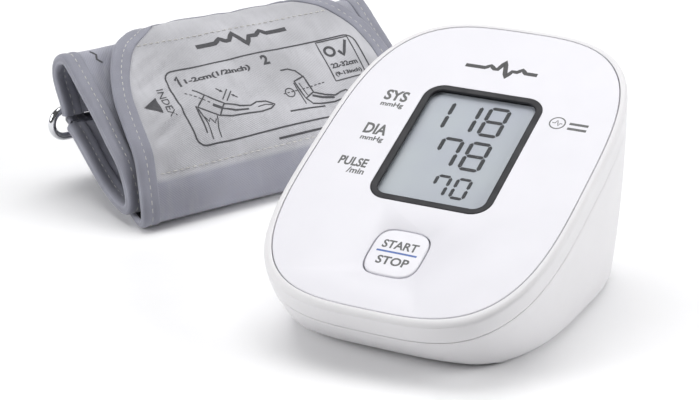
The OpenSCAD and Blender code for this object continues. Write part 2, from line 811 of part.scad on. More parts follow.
module cuff_tube_binding() {
    color("#9b9ca8")
    at_cuff() {
        band(sleeve, -band_t / 2 - 0.1, band_t / 2 + 0.1, same(sleeve, 0), same(sleeve, tape_w));
        band(sleeve, -band_t / 2 - 0.1, band_t / 2 + 0.1, same(sleeve, cuff_w - tape_w), same(sleeve, cuff_w));
    }
}

module cuff_tail() {
    color("#c3c4ce")
    at_cuff() band(tail, -tail_t / 2, tail_t / 2, shifted(tail_x0, tape_w), shifted(tail_x1, -tape_w));
}

module cuff_tail_binding() {
    color("#9b9ca8")
    at_cuff() {
        band(tail, -tail_t / 2, tail_t / 2, tail_x0, shifted(tail_x0, tape_w - 0.25));
        band(tail, -tail_t / 2, tail_t / 2, shifted(tail_x1, 0.25 - tape_w), tail_x1);
    }
}

// Hook tape on the inner face of the tail, round the tip.
module cuff_hook_tape() {
    color("#1c1c20")
    at_cuff() let (c = part_of(tail, 24, 45), x = part_of(tail_x0, 24, 45), y = part_of(tail_x1, 24, 45))
        band(c, tail_t / 2, tail_t / 2 + 0.8, shifted(x, 1), shifted(y, -12));
}

// ---- metal ring ----
ring_y = 58.6;
ring_z0 = 20;
ring_z1 = 31;
ring_x0 = 2.5;
ring_x1 = 141.5;
ring_r = (ring_z1 - ring_z0) / 2;

module cuff_ring() {
    color("#d5d6da")
    at_cuff() translate([0, ring_y, 0]) {
        for (z = [ring_z0, ring_z1]) translate([ring_x0, 0, z]) rotate([0, 90, 0])
            cylinder(r = wire_r, h = ring_x1 - ring_x0);
        for (e = [[ring_x0, 90], [ring_x1, -90]]) translate([e[0], 0, ring_z0 + ring_r]) rotate([90, 0, 0])
            rotate(e[1]) rotate_extrude(angle = 180) translate([ring_r, 0]) circle(wire_r);
    }
}

module cuff_ring_loop() {
    color("#8c8e9a")
    at_cuff() difference() {
        union() {
            translate([10, ring_y, ring_z1]) rotate([0, 90, 0]) cylinder(r = 2.6, h = 120);
            translate([10, ring_y - 1.5, ring_z1]) cube([120, 2.6, 2.65]);
        }
        translate([9, ring_y, ring_z1]) rotate([0, 90, 0]) cylinder(r = wire_r + 0.08, h = 122);
    }
}

// ---- bladder port, on the far end of the sleeve's back ----
port_y = 27;
port_z = 10.6;

module bladder_port() {
    color("#55575e")
    at_cuff() translate([cuff_w, port_y, port_z]) rotate([0, 90, 0]) difference() {
        union() {
            cylinder(r = 4.2, h = 1.5);
            cylinder(r = 3.2, h = 9);
        }
        translate([0, 0, 1]) cylinder(r = 2, h = 9);
    }
}

lower_case();
upper_case();
face_panel();
display_bezel();
display_window();
lcd_panel();
lcd_holder();
lcd_connectors();
main_board();
board_chips();
pressure_sensor();
tact_switch();
switch_plunger();
start_stop_button();
board_screws();
case_screws();
base_pads();
battery_cover();
battery_cells();
battery_springs();
battery_contacts();
motor_can();
motor_magnets();
motor_bearings();
motor_rotor();
pump_crank();
pump_housing();
pump_diaphragm();
pump_lid();
pump_cushion();
valve_yoke();
valve_coil();
valve_plunger();
valve_spring();
valve_head();
valve_seal();
air_manifold();
pump_tube();
valve_tube();
sensor_tube();
air_jack();
dc_jack();
motor_leads();
battery_leads();
cuff_cover();
cuff_lining();
cuff_bladder();
cuff_tube_binding();
cuff_tail();
cuff_tail_binding();
cuff_hook_tape();
cuff_ring_loop();
cuff_ring();
bladder_port();
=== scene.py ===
import math

import bpy
import numpy as np
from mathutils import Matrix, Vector


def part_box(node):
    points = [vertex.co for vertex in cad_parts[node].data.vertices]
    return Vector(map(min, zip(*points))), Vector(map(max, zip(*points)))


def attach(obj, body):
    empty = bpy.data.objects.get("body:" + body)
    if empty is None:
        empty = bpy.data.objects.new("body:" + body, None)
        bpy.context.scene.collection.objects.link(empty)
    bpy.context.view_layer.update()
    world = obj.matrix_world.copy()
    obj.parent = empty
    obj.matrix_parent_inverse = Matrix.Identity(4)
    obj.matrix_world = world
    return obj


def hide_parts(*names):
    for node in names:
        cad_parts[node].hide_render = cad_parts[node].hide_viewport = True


# Looks of an upper arm blood pressure monitor: a wedge shaped desk unit with a rolled arm cuff beside it.
# Lengths are millimetres until a mesh is made. The housing, its print and the cuff follow the same curves as
# the CAD solids that they replace, and every other CAD node keeps its shape and gets a material.
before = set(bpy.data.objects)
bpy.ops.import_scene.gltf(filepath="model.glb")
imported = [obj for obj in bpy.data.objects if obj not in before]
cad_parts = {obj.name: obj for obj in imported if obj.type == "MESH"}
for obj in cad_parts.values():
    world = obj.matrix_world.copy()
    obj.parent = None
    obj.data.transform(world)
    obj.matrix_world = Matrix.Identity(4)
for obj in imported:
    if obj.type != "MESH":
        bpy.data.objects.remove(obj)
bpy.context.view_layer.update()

MM = 0.001


def node_box(node):
    """Lowest and highest corner of a CAD node, in millimetres."""
    low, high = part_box(node)
    return np.array(low) / MM, np.array(high) / MM


# ---- driving dimensions ----
HALF_W, HALF_D = node_box("upper_case")[1][:2]
BODY_H = 80.0
FRONT_H = 20.6
OUTLINE_N = 3.3
OUTLINE_STEPS = 256
WALL = 2.2
BAND_H = 8.0
SIDE_DRAFT = 5.0
FRONT_DRAFT = 19.0
REAR_DRAFT = 0.8
SIDE_BULGE = 0.8
DRAFT_POWER = 1.3
BASE_ROUND = 3.0
RIM_ROUND = 1.6
PANEL_U = 49.0
PANEL_V = 68.6
PANEL_T = 2.2
PANEL_ROUND = 0.35
POCKET = PANEL_T + 0.2
GROOVE = 0.3
DISPLAY_W = 44.6
DISPLAY_L = 57.6
DISPLAY_V = 7.5
DISPLAY_BORDER = 2.6
BUTTON_W = 18.8
BUTTON_L = 20.0
BUTTON_V = -43.7
KEY_N = 3.6
KEY_DOME = 0.1
CELL_W = DISPLAY_W - 3.4
CELL_L = DISPLAY_L - 3.4
LCD_TOP = -1.75
INK_T = 0.03
CLOTH_INK_T = 0.08
TILT = math.atan((BODY_H - FRONT_H) / (2 * HALF_D))
FACE_Z = (FRONT_H + BODY_H) / 2

CUFF_ORIGIN = np.array([-127.9, 2.8, 0.0])
CUFF_TURN = math.radians(62.5)
CUFF_W = 140.0
TAPE_W = 7.0
TAPE_STEP = 1.4
BAND_T = 3.0
TAIL_T = 2.2
PLY_T = 0.7
SEAM_IN = 0.8
CURVE_STEPS = 12
# where the painted shade on the cloth below the flap's lower seam fades out, along the tail
SHADE_FADE = (105.5, 107.5)

# edges sharper than these angles, in degrees, stay crisp
SHARP = 35
CLOTH_SHARP = 60
TAPE_SHARP = 70
THREAD_SHARP = 80

FLOOR_REACH = 4000
FLOOR_GAP = 0.2


# ---- meshes ----
def new_object(name, points, faces, sharp=SHARP):
    """An object from points in millimetres; edges sharper than that angle stay crisp."""
    mesh = bpy.data.meshes.new(name)
    mesh.from_pydata((np.asarray(points, float) * MM).tolist(), [], faces)
    mesh.shade_smooth()
    mesh.set_sharp_from_angle(angle=math.radians(sharp))
    obj = bpy.data.objects.new(name, mesh)
    bpy.context.scene.collection.objects.link(obj)
    return obj


def grid_faces(rows, cols, wrap_rows=False, wrap_cols=False, start=0):
    """Quads over a grid of points stored row by row."""
    r = np.arange(rows if wrap_rows else rows - 1)
    c = np.arange(cols if wrap_cols else cols - 1)
    r, c = (a.ravel() for a in np.meshgrid(r, c, indexing="ij"))
    r1, c1 = (r + 1) % rows, (c + 1) % cols
    quads = np.stack([r * cols + c, r * cols + c1, r1 * cols + c1, r1 * cols + c], 1) + start
    return quads.tolist()


def tube(rings, closed=False):
    """Points and faces of a skin over rings of as many points, capped at both ends or closed on itself."""
    rings = np.asarray(rings, float)
    rows, cols = rings.shape[:2]
    faces = grid_faces(rows, cols, wrap_rows=closed, wrap_cols=True)
    if not closed:
        faces.append(list(range(cols - 1, -1, -1)))
        faces.append([(rows - 1) * cols + i for i in range(cols)])
    return rings.reshape(-1, 3), faces


def joined(parts):
    """Several (points, faces) as one."""
    points, faces, start = [], [], 0
    for p, part_faces in parts:
        points.append(p)
        faces += [[start + i for i in face] for face in part_faces]
        start += len(p)
    return np.concatenate(points), faces


def skin(name, rings, sharp=SHARP, closed=False):
    """An object from a tube over rings."""
    return new_object(name, *tube(rings, closed), sharp)


def boolean(obj, other, operation, sharp=SHARP):
    """Unites other with obj, or cuts it away, and removes other."""
    modifier = obj.modifiers.new("boolean", "BOOLEAN")
    modifier.operation = operation
    modifier.object = other
    modifier.solver = "MANIFOLD"
    graph = bpy.context.evaluated_depsgraph_get()
    mesh = bpy.data.meshes.new_from_object(obj.evaluated_get(graph))
    obj.modifiers.clear()
    obj.data = mesh
    bpy.data.objects.remove(other)
    obj.data.set_sharp_from_angle(angle=math.radians(sharp))


def quarter(steps, start=0, span=90):
    """Angles over a quarter turn, or over span degrees from start."""
    return np.radians(np.linspace(start, start + span, steps))


def round_rect(w, l, r, steps=10):
    """A rectangle with round corners, centred, counter-clockwise."""
    points = []
    for cx, cy, start in ((1, 1, 0), (-1, 1, 90), (-1, -1, 180), (1, -1, 270)):
        for a in quarter(steps, start):
            points.append([cx * (w / 2 - r) + r * math.cos(a), cy * (l / 2 - r) + r * math.sin(a)])
    return np.array(points)


def turns(steps):
    """Angles over a whole turn, without its end."""
    return np.linspace(0, 2 * math.pi, steps, endpoint=False)


def unit(d):
    """Directions made one long."""
    return d / np.linalg.norm(d, axis=-1, keepdims=True)


def left_of(d):
    """Flat directions turned a quarter to the left."""
    return np.stack([-d[..., 1], d[..., 0]], -1)


def superellipse(a, b, n, steps):
    """A superellipse with those half sizes and power, counter-clockwise."""
    c, s = np.cos(turns(steps)), np.sin(turns(steps))
    r = (np.abs(c / a) ** n + np.abs(s / b) ** n) ** (-1 / n)
    return np.stack([r * c, r * s], -1)


def squircle(w, l):
    """The key's superellipse with that width and length, counter-clockwise."""
    return superellipse(w / 2, l / 2, KEY_N, 96)


def circle(r, steps=48):
    """A circle, counter-clockwise."""
    return np.stack([r * np.cos(turns(steps)), r * np.sin(turns(steps))], 1)


def discs(*rows):
    """Outlines of a turned shape, from (radius, height) rows."""
    return [(circle(r), h) for r, h in rows]


def slabs(w, l, *rows):
    """Outlines of a shape with round corners, from (inset, corner radius, height) rows."""
    return [(round_rect(w - inset, l - inset, r), h) for inset, r, h in rows]


def key_outline(grow):
    """The key's outline, made that much wider and longer."""
    return squircle(BUTTON_W + grow, BUTTON_L + grow)


def on_face(u, v, w):
    """A point given across, up and out of the sloping face."""
    u, v, w = np.broadcast_arrays(u, v, w)
    y = v * math.cos(TILT) - w * math.sin(TILT)
    z = FACE_Z + v * math.sin(TILT) + w * math.cos(TILT)
    return np.stack([u, y, z], -1)


def upright(u, v, w):
    """Out along +Z, with u along +X and v along +Y."""
    return np.stack(np.broadcast_arrays(u, v, w), -1).astype(float)


def along_x(u, v, w):
    """Out along +X, with u along +Y and v along +Z."""
    u, v, w = np.broadcast_arrays(u, v, w)
    return np.stack([w, u, v], -1).astype(float)


def along_y(u, v, w):
    """Out along +Y, with u along -X and v along +Z."""
    u, v, w = np.broadcast_arrays(u, v, w)
    return np.stack([-u, w, v], -1).astype(float)


def lathe(name, outlines, place=upright, at=(0, 0), sharp=SHARP, closed=False):
    """A skin over outlines, each given as (points, height), in a place's own frame."""
    rings = [place(p[:, 0] + at[0], p[:, 1] + at[1], h) for p, h in outlines]
    return skin(name, rings, sharp, closed)


def prism(name, outline, low, high, place=upright, at=(0, 0)):
    """A straight solid over one outline."""
    return lathe(name, [(outline, low), (outline, high)], place, at)


def block(low, high):
    """A box between two corners, as a cutter or a rib."""
    outline = np.array([[low[0], low[1]], [high[0], low[1]], [high[0], high[1]], [low[0], high[1]]])
    return prism("block", outline, low[2], high[2])


# ---- the housing's skin, as in the CAD model ----
def outline(a, b):
    """The housing's outline with those half sizes."""
    return superellipse(a, b, OUTLINE_N, OUTLINE_STEPS)


def outline_dir(p, a, b):
    """Outward directions of the housing's outline at its points."""
    return unit(np.sign(p) * np.abs(p) ** (OUTLINE_N - 1) / np.array([a, b]) ** OUTLINE_N)


def rim_z(y):
    """The height of the rim."""
    return FRONT_H + (y + HALF_D) * math.tan(TILT)


def lean(d, y):
    """How far the wall leans in, d of the way from the rim to the base, facing y."""
    k = (y / HALF_D) ** 2
    draft = SIDE_DRAFT + (np.where(y < 0, FRONT_DRAFT, REAR_DRAFT) - SIDE_DRAFT) * k
    curve_in = 1 - (1 - d ** DRAFT_POWER) ** (1 / DRAFT_POWER)
    return draft * curve_in - 4 * SIDE_BULGE * d * (1 - d)


def wall_ring(z_of, off, inset=0.0):
    """A ring of the case's wall: z_of gives its height from the rim's height, off is the wall's depth."""
    a, b = HALF_W - off, HALF_D - off
    p = outline(a, b)
    rim = rim_z(p[:, 1])
    z = z_of(rim)
    low = np.clip(BASE_ROUND - (z - (WALL if off > 0.5 else 0.0)), 0, BASE_ROUND)
    round_in = BASE_ROUND - np.sqrt(BASE_ROUND ** 2 - low ** 2)
    shift = lean(np.clip(1 - z / rim, 0, 1), p[:, 1] * HALF_D / b) + round_in + inset
    return np.column_stack([p - outline_dir(p, a, b) * shift[:, None], z])


def rim_ring(k, d):
    """A ring of the rolled lip, in by k and down by d from the rim."""
    p = outline(HALF_W - k, HALF_D - k)
    return np.column_stack([p, rim_z(p[:, 1]) - d])


def face_ring(a, b, w):
    """A ring of the face's outline at a height over the face."""
    p = outline(a, b)
    return on_face(p[:, 0], p[:, 1], w)


# ---- materials ----
MATERIALS = {}
# what a wave texture multiplies its place by, for each direction of its bands
WAVE_SCALE = {"X": 20, "Y": 20, "DIAGONAL": 10}


def tint(rgb):
    """An sRGB colour of 0 to 255 as linear RGBA."""
    c = np.array(rgb, float) / 255
    linear = np.where(c <= 0.04045, c / 12.92, ((c + 0.055) / 1.055) ** 2.4)
    return (*linear.tolist(), 1.0)


class Finish:
    """A material under construction: a Principled shader and the nodes that vary it."""

    def __init__(self, name, rgb, rough, **sockets):
        self.material = bpy.data.materials.new(name)
        self.material.use_nodes = True
        self.tree = self.material.node_tree
        self.shader = self.tree.nodes["Principled BSDF"]
        self.rough = rough
        self.shader.inputs["Base Color"].default_value = tint(rgb)
        self.shader.inputs["Roughness"].default_value = rough
        for socket, value in sockets.items():
            self.shader.inputs[socket.replace("_", " ")].default_value = value
        self.place = self.add("ShaderNodeTexCoord").outputs["Object"]
        self.normal = None
        MATERIALS[name] = self.material

    def add(self, kind, **settings):
        node = self.tree.nodes.new(kind)
        for key, value in settings.items():
            setattr(node, key, value)
        return node

    def link(self, out, into):
        self.tree.links.new(out, into)

    def noise(self, size, detail=3.0, place=None, stretch=None):
        """Noise whose features are about size millimetres across."""
        node = self.add("ShaderNodeTexNoise")
        node.inputs["Detail"].default_value = detail
        source = place or self.place
        if stretch:
            mapping = self.add("ShaderNodeMapping")
            mapping.inputs["Scale"].default_value = stretch
            self.link(source, mapping.inputs["Vector"])
            source = mapping.outputs["Vector"]
        self.link(source, node.inputs["Vector"])
        node.inputs["Scale"].default_value = (1.0 if place else 1 / MM) / size
        return node.outputs["Fac"]

    def ramp(self, value, low, high, start=0.35, end=0.65):
        """Maps a value between start and end onto low to high."""
        node = self.add("ShaderNodeMapRange")
        for socket, number in (("From Min", start), ("From Max", end), ("To Min", low), ("To Max", high)):
            node.inputs[socket].default_value = number
        self.link(value, node.inputs["Value"])
        return node.outputs["Result"]

    def blend(self, value, rgb_a, rgb_b):
        """A colour between two, by a value from 0 to 1."""
        node = self.add("ShaderNodeMix", data_type="RGBA")
        self.link(value, node.inputs["Factor"])
        for socket, colour in ((6, rgb_a), (7, rgb_b)):
            if isinstance(colour, tuple):
                node.inputs[socket].default_value = tint(colour)
            else:
                self.link(colour, node.inputs[socket])
        return node.outputs[2]

    def colour(self, source):
        self.link(source, self.shader.inputs["Base Color"])

    def patches(self, size, rgb_a, rgb_b, detail=3.0):
        """Colours the surface unevenly between two colours, in patches about size millimetres across."""
        self.colour(self.blend(self.ramp(self.noise(size, detail), 0, 1), rgb_a, rgb_b))

    def vary_rough(self, value, spread):
        out = self.ramp(value, max(0.02, self.rough - spread), self.rough + spread)
        self.link(out, self.shader.inputs["Roughness"])

    def bump(self, height, depth):
        """Adds relief of that depth in millimetres."""
        node = self.add("ShaderNodeBump")
        node.inputs["Distance"].default_value = depth * MM
        node.inputs["Strength"].default_value = 1.0
        self.link(height, node.inputs["Height"])
        if self.normal:
            self.link(self.normal, node.inputs["Normal"])
        self.normal = node.outputs["Normal"]
        self.link(self.normal, self.shader.inputs["Normal"])

    def attribute(self, name):
        node = self.add("ShaderNodeAttribute", attribute_type="GEOMETRY", attribute_name=name)
        return node.outputs["Vector"]

    def wave(self, place, period, direction="X", distort=0.0):
        """Even ridges with that period in millimetres, over a place in millimetres."""
        node = self.add("ShaderNodeTexWave", wave_type="BANDS", bands_direction=direction)
        node.inputs["Scale"].default_value = 2 * math.pi / period / WAVE_SCALE[direction]
        node.inputs["Distortion"].default_value = distort
        self.link(place, node.inputs["Vector"])
        return node.outputs["Fac"]

    def math(self, operation, a, b):
        node = self.add("ShaderNodeMath", operation=operation)
        for socket, value in enumerate((a, b)):
            if isinstance(value, (int, float)):
                node.inputs[socket].default_value = value
            else:
                self.link(value, node.inputs[socket])
        return node.outputs[0]


def shade(rgb, k):
    """A colour made lighter or darker by a factor."""
    return tuple(min(255.0, c * k) for c in rgb)


def plastic(name, rgb, rough=0.4, grain=0.25, depth=0.012, spread=0.05, mottle=0.015, **sockets):
    """Moulded plastic: a fine spark-eroded grain and a faint unevenness of colour and gloss."""
    f = Finish(name, rgb, rough, **sockets)
    f.patches(18, shade(rgb, 1 - mottle), shade(rgb, 1 + mottle))
    f.vary_rough(f.noise(6), spread)
    f.bump(f.noise(grain, 2.0), depth)


def metal(name, rgb, rough=0.25, brushed=(1, 1, 1), depth=0.004):
    """Bare metal with fine drawn or rolled lines and slight tarnish."""
    f = Finish(name, rgb, rough, Metallic=1.0)
    f.patches(5, shade(rgb, 0.93), rgb)
    f.vary_rough(f.noise(1.5), 0.06)
    f.bump(f.noise(0.4, 2.0, stretch=brushed), depth)


def rubber(name, rgb, rough=0.7):
    """Matt rubber or foam with a fine uneven skin."""
    f = Finish(name, rgb, rough)
    f.patches(4, shade(rgb, 0.9), shade(rgb, 1.08))
    f.vary_rough(f.noise(2), 0.08)
    f.bump(f.noise(0.3), 0.03)


def tinted(f, colour, rgb, shaded):
    """The same colour multiplied, so that rgb becomes the shaded colour: painted shade."""
    node = f.add("ShaderNodeMix", data_type="RGBA", blend_type="MULTIPLY")
    node.inputs["Factor"].default_value = 1.0
    f.link(colour, node.inputs[6])
    node.inputs[7].default_value = (np.array(tint(shaded)) / np.array(tint(rgb))).tolist()
    return node.outputs[2]


def cloth(name, rgb, twill=1.1, contrast=0.06, shaded=None):
    """Woven cloth: crossing threads, a diagonal twill line and uneven yarn, laid along the piece itself; if
    shaded is given, painted shade darkens the tail below the flap's seam.
    """
    thread, marl, depth = 0.42, 0.05, 0.05
    f = Finish(name, rgb, 0.82, Sheen_Weight=0.25, Sheen_Roughness=0.45, Specular_IOR_Level=0.25)
    place = f.attribute("cloth")
    across = f.wave(place, thread, "X", 0.6)
    along = f.wave(place, thread, "Y", 0.6)
    diagonal = f.wave(place, twill, "DIAGONAL", 0.8)
    weave = f.math("ADD", f.math("MULTIPLY", across, along), f.math("MULTIPLY", diagonal, 1.2))
    yarn = f.noise(2.2, 4.0, place=place, stretch=(1.0, 0.25, 1.0))
    broad = f.ramp(f.noise(26.0, 2.0, place=place), 0, 1)
    ground = f.blend(broad, shade(rgb, 1 - marl), shade(rgb, 1 + marl))
    dark = f.blend(broad, shade(rgb, 1 - marl - contrast), shade(rgb, 1 + marl - contrast))
    woven = f.blend(f.ramp(weave, 0, 1, 0.2, 1.9), dark, ground)
    # painted shade: below the flap's lower seam the cloth is multiplied darker and bluer, standing in for the
    # shade on cloth that faces down under the flap
    if shaded:
        parts = f.add("ShaderNodeSeparateXYZ")
        f.link(place, parts.inputs["Vector"])
        flap_part = f.ramp(parts.outputs["Y"], 0, 1, *SHADE_FADE)
        woven = f.blend(flap_part, tinted(f, woven, rgb, shaded), woven)
    f.colour(f.blend(f.ramp(yarn, 0, 0.35, 0.45, 0.75), woven, shade(rgb, 1 - 2 * contrast)))
    f.vary_rough(yarn, 0.06)
    f.bump(weave, depth)
    f.bump(yarn, depth * 0.6)


def tape_cloth(name, rgb):
    """Bias tape: fine ribs straight across the tape, and a little shine."""
    f = Finish(name, rgb, 0.62, Sheen_Weight=0.35, Sheen_Roughness=0.4, Specular_IOR_Level=0.35)
    place = f.attribute("cloth")
    ribs = f.wave(place, 0.5, "DIAGONAL", 0.4)
    fine = f.wave(place, 0.33, "X", 0.5)
    yarn = f.noise(1.6, 3.0, place=place)
    broad = f.ramp(f.noise(14.0, 2.0, place=place), 0, 1)
    ground = f.blend(broad, shade(rgb, 0.94), shade(rgb, 1.05))
    lines = f.ramp(f.math("ADD", ribs, fine), 0, 1, 0.3, 1.7)
    f.colour(f.blend(lines, shade(rgb, 0.88), ground))
    f.vary_rough(yarn, 0.06)
    f.bump(f.math("ADD", ribs, f.math("MULTIPLY", yarn, 0.8)), 0.035)


def ink(name, rgb, rough=0.45):
    """Screen printing ink, slightly uneven in its cover."""
    f = Finish(name, rgb, rough)
    f.patches(1.2, shade(rgb, 0.93), shade(rgb, 1.07))
    f.bump(f.noise(0.2), 0.004)


# ---- camera, lights and floor ----
def look(location, turn, lens):
    """The camera, pitched from straight down and turned about the vertical, both in degrees."""
    camera = bpy.data.objects.new("camera", bpy.data.cameras.new("camera"))
    camera.location = location
    camera.rotation_euler = (math.radians(turn[0]), 0, math.radians(turn[1]))
    camera.data.lens = lens
    bpy.context.scene.collection.objects.link(camera)
    bpy.context.scene.camera = camera


def soft_light(name, location, target, size, power):
    """A white rectangle of light that faces its target."""
    data = bpy.data.lights.new(name, "AREA")
    data.shape = "RECTANGLE"
    data.size, data.size_y = size
    data.energy = power
    light = bpy.data.objects.new(name, data)
    light.location = location
    light.rotation_euler = (Vector(location) - Vector(target)).to_track_quat("Z", "Y").to_euler()
    bpy.context.scene.collection.objects.link(light)


def studio():
    """The camera, three soft lights, a faint white surround and a pale floor."""
    look((0.270, -0.601, 0.2979), (68.35, 27.08), 107.3)
    world = bpy.data.worlds.new("studio")
    bpy.context.scene.world = world
    world.use_nodes = True
    background = world.node_tree.nodes["Background"]
    background.inputs["Color"].default_value = (1.0, 1.0, 1.0, 1.0)
    background.inputs["Strength"].default_value = 0.1
    soft_light("top_light", (-0.2, 0.3, 1.25), (-0.05, 0.05, 0.0), (1.3, 1.0), 15)
    soft_light("right_light", (1.15, 0.55, 0.65), (0.0, 0.0, 0.05), (0.9, 0.7), 11.5)
    soft_light("left_light", (-1.2, -0.9, 0.7), (-0.05, 0.0, 0.05), (0.9, 0.8), 13.5)
    corners = np.array([[-1, -1, 0], [1, -1, 0], [1, 1, 0], [-1, 1, 0]])
    floor = new_object("floor", corners * FLOOR_REACH, [[0, 1, 2, 3]])
    floor.location.z = -FLOOR_GAP * MM
    f = Finish("floor_white", (247, 247, 248), 0.9, Specular_IOR_Level=0.1)
    f.patches(60, (246, 246, 247), (248, 248, 249))
    floor.data.materials.append(f.material)
    bpy.context.scene.view_settings.view_transform = "Standard"


def dress(obj, material, body, *replaces, slot=None):
    """Gives a piece its material, its body and the CAD nodes that it stands for, which it hides; slot is not
    used.
    """
    if not any(obj.data.materials):
        obj.data.materials.clear()
        obj.data.materials.append(MATERIALS[material])
    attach(obj, body)
    slot or material
    if replaces:
        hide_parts(*replaces)
    return obj


studio()

# ---- housing ----
POST_PLACES = ((-34, -36), (34, -36), (-38, 43), (38, 43))
PAD_PLACES = ((-33, -20), (33, -20), (-40, 22), (40, 22))
BAY_X = 30.5
BAY_Y = (22.0, 54.5)
BAY_TOP = 33.0
JACK_Y, JACK_Z, JACK_FACE = -4.0, 18.0, node_box("air_jack")[0][0]
DC_X, DC_Z = 22.0, 44.0
JACK_DEPTH = node_box("air_jack")[1][0] - JACK_FACE
BAY_WALL = 1.5
POST_TOP = 13.6
PART_GAP = 0.15
PART_EDGE = 0.3


def make_lower_case():
    """Wall from the table to the parting line, with screw posts, battery bay and jack openings."""
    def up(k, base, top_drop):
        return lambda rim: base + (rim - BAND_H - top_drop - base) * k
    rings = []
    for a in quarter(9):
        rings.append(wall_ring(lambda rim: np.full_like(rim, BASE_ROUND * (1 - math.cos(a))), 0))
    rings += [wall_ring(up(k, BASE_ROUND, PART_EDGE), 0) for k in np.linspace(0, 1, 16)[1:]]
    rings += [wall_ring(up(1, 0, 0.08), 0, 0.1), wall_ring(up(1, 0, 0), 0, PART_EDGE)]
    rings += [wall_ring(up(k, WALL, 0), WALL) for k in (1, 0.75, 0.5, 0.3, 0.15, 0.07, 0.02, 0)]
    case = skin("lower_shell", rings)
    for x, y in POST_PLACES:
        boolean(case, prism("post", circle(4.2), 0.6, POST_TOP, at=(x, y)), "UNION")
    low, high = np.array([-BAY_X, BAY_Y[0], -1]), np.array([BAY_X, BAY_Y[1], BAY_TOP])
    boolean(case, block((low[0] - BAY_WALL, low[1] - BAY_WALL, 0.6), high + BAY_WALL), "UNION")
    boolean(case, block(low, high), "DIFFERENCE")
    low, high = node_box("battery_cover")
    door = round_rect(2 * BAY_X + 0.5, high[1] - low[1] + 0.5, 1.2)
    cutters = [prism("door", door, -1, low[2] + 1.95, at=(0, (low[1] + high[1]) / 2))]
    for at in POST_PLACES:
        screw_way = discs((3.6, -0.1), (3.2, 0.35), (3.2, 7), (1.7, 7), (1.7, 20))
        cutters.append(lathe("hole", screw_way, at=at))
    cutters += [prism("pad", circle(5.15), -1, 1.2, at=at) for at in PAD_PLACES]
    step = JACK_FACE + 1.65
    seat = discs((6.45, JACK_FACE - 3), (6.45, step), (4.55, step), (4.55, JACK_FACE + 6))
    cutters.append(lathe("seat", seat, along_x, at=(JACK_Y, JACK_Z)))
    power = discs((4.05, HALF_D - 6), (4.05, HALF_D - 0.6), (5.0, HALF_D + 1))
    cutters.append(lathe("power", power, along_y, at=(-DC_X, DC_Z)))
    for cutter in cutters:
        boolean(case, cutter, "DIFFERENCE")
    dress(case, "case_white", "monitor", "lower_case")


def make_upper_case():
    """The band under the rim, the rolled lip and the pocket that holds the face panel."""
    def below(drop, off=0.0, inset=0.0):
        return wall_ring(lambda rim: rim - drop, off, inset)
    foot = BAND_H - PART_GAP
    rings = [face_ring(PANEL_U - 3, PANEL_V - 3.4, -POCKET - 2), below(6.2, WALL + 0.4), below(foot, WALL),
             below(foot, 0, PART_EDGE), below(foot - 0.08, 0, 0.1)]
    rings += [below(drop) for drop in (foot - PART_EDGE, 6.5, 5, 3.5, 2.4)]
    for a in quarter(9, 10, 80):
        rings.append(rim_ring(RIM_ROUND * (1 - math.cos(a)), RIM_ROUND * (1 - math.sin(a))))
    for edge, height in ((0.14, 0), (0.04, -0.04), (0, -0.14), (0, -POCKET)):
        rings.append(face_ring(PANEL_U + GROOVE + edge, PANEL_V + GROOVE + edge, height))
    case = skin("upper_shell", rings)
    for x, y in POST_PLACES:
        top = rim_z(y) - POCKET / math.cos(TILT) - 1
        boolean(case, prism("post", circle(3.4), POST_TOP, top, at=(x, y)), "UNION")
        boolean(case, prism("hole", circle(1.52), 10, 23, at=(x, y)), "DIFFERENCE")
    for w, l, v in ((CELL_W, CELL_L, DISPLAY_V), (BUTTON_W + 3.4, BUTTON_L + 3.4, BUTTON_V)):
        boolean(case, prism("hole", round_rect(w, l, 5), -9, 2, on_face, at=(0, v)), "DIFFERENCE")
    dress(case, "case_white", "monitor", "upper_case")


def make_face_panel():
    """The glossy panel with its softened edge and the openings for the display and the button."""
    rings = [face_ring(PANEL_U, PANEL_V, -PANEL_T)]
    for a in quarter(6):
        inset = PANEL_ROUND * (1 - math.cos(a))
        rings.append(face_ring(PANEL_U - inset, PANEL_V - inset, -PANEL_ROUND * (1 - math.sin(a))))
    panel = skin("face_plate", rings)
    hole = round_rect(DISPLAY_W + 0.1, DISPLAY_L + 0.1, 7.05, 16)
    boolean(panel, prism("hole", hole, -5, 3, on_face, at=(0, DISPLAY_V)), "DIFFERENCE")
    flare = [(key_outline(grow), h)
             for grow, h in ((0.9, -5), (0.9, -0.3), (1.04, -0.1), (1.4, 0.02), (1.4, 1))]
    boolean(panel, lathe("hole", flare, on_face, at=(0, BUTTON_V)), "DIFFERENCE")
    dress(panel, "panel_white", "monitor", "face_panel")


def make_button():
    """A cushion shaped key with a rounded edge, on a wider flange, and a grey ring deep in the gap round it,
    painted shade that darkens the gap.
    """
    rings = [(key_outline(2.4), -3.7), (key_outline(2.4), -2.9), (key_outline(0), -2.9)]
    for a in quarter(7):
        rings.append((key_outline(-1.1 * (1 - math.cos(a))), -0.35 + 0.45 * math.sin(a)))
    for k in (0.8, 0.55, 0.3, 0.1):
        rings.append((squircle(BUTTON_W * k, BUTTON_L * k), KEY_DOME + KEY_DOME * (1 - k * k)))
    key = lathe("start_key", rings, on_face, at=(0, BUTTON_V), sharp=50)
    boolean(key, prism("stem", circle(2.2), -5.9, -3.5, on_face, at=(0, BUTTON_V)), "UNION", sharp=50)
    dress(key, "button_white", "button", "start_stop_button")
    # painted shade: a plain grey ring deep in the gap round the key, darkening the gap as its shade would
    gap = [(key_outline(grow), h) for grow, h in ((1.6, -2.6), (1.6, -1.35), (0.06, -1.15), (0.06, -2.6))]
    gap_shade_ring = lathe("key_gap_shade", gap, on_face, at=(0, BUTTON_V), closed=True)
    dress(gap_shade_ring, "gap_shade_grey", "monitor", slot="elastomer_pink")


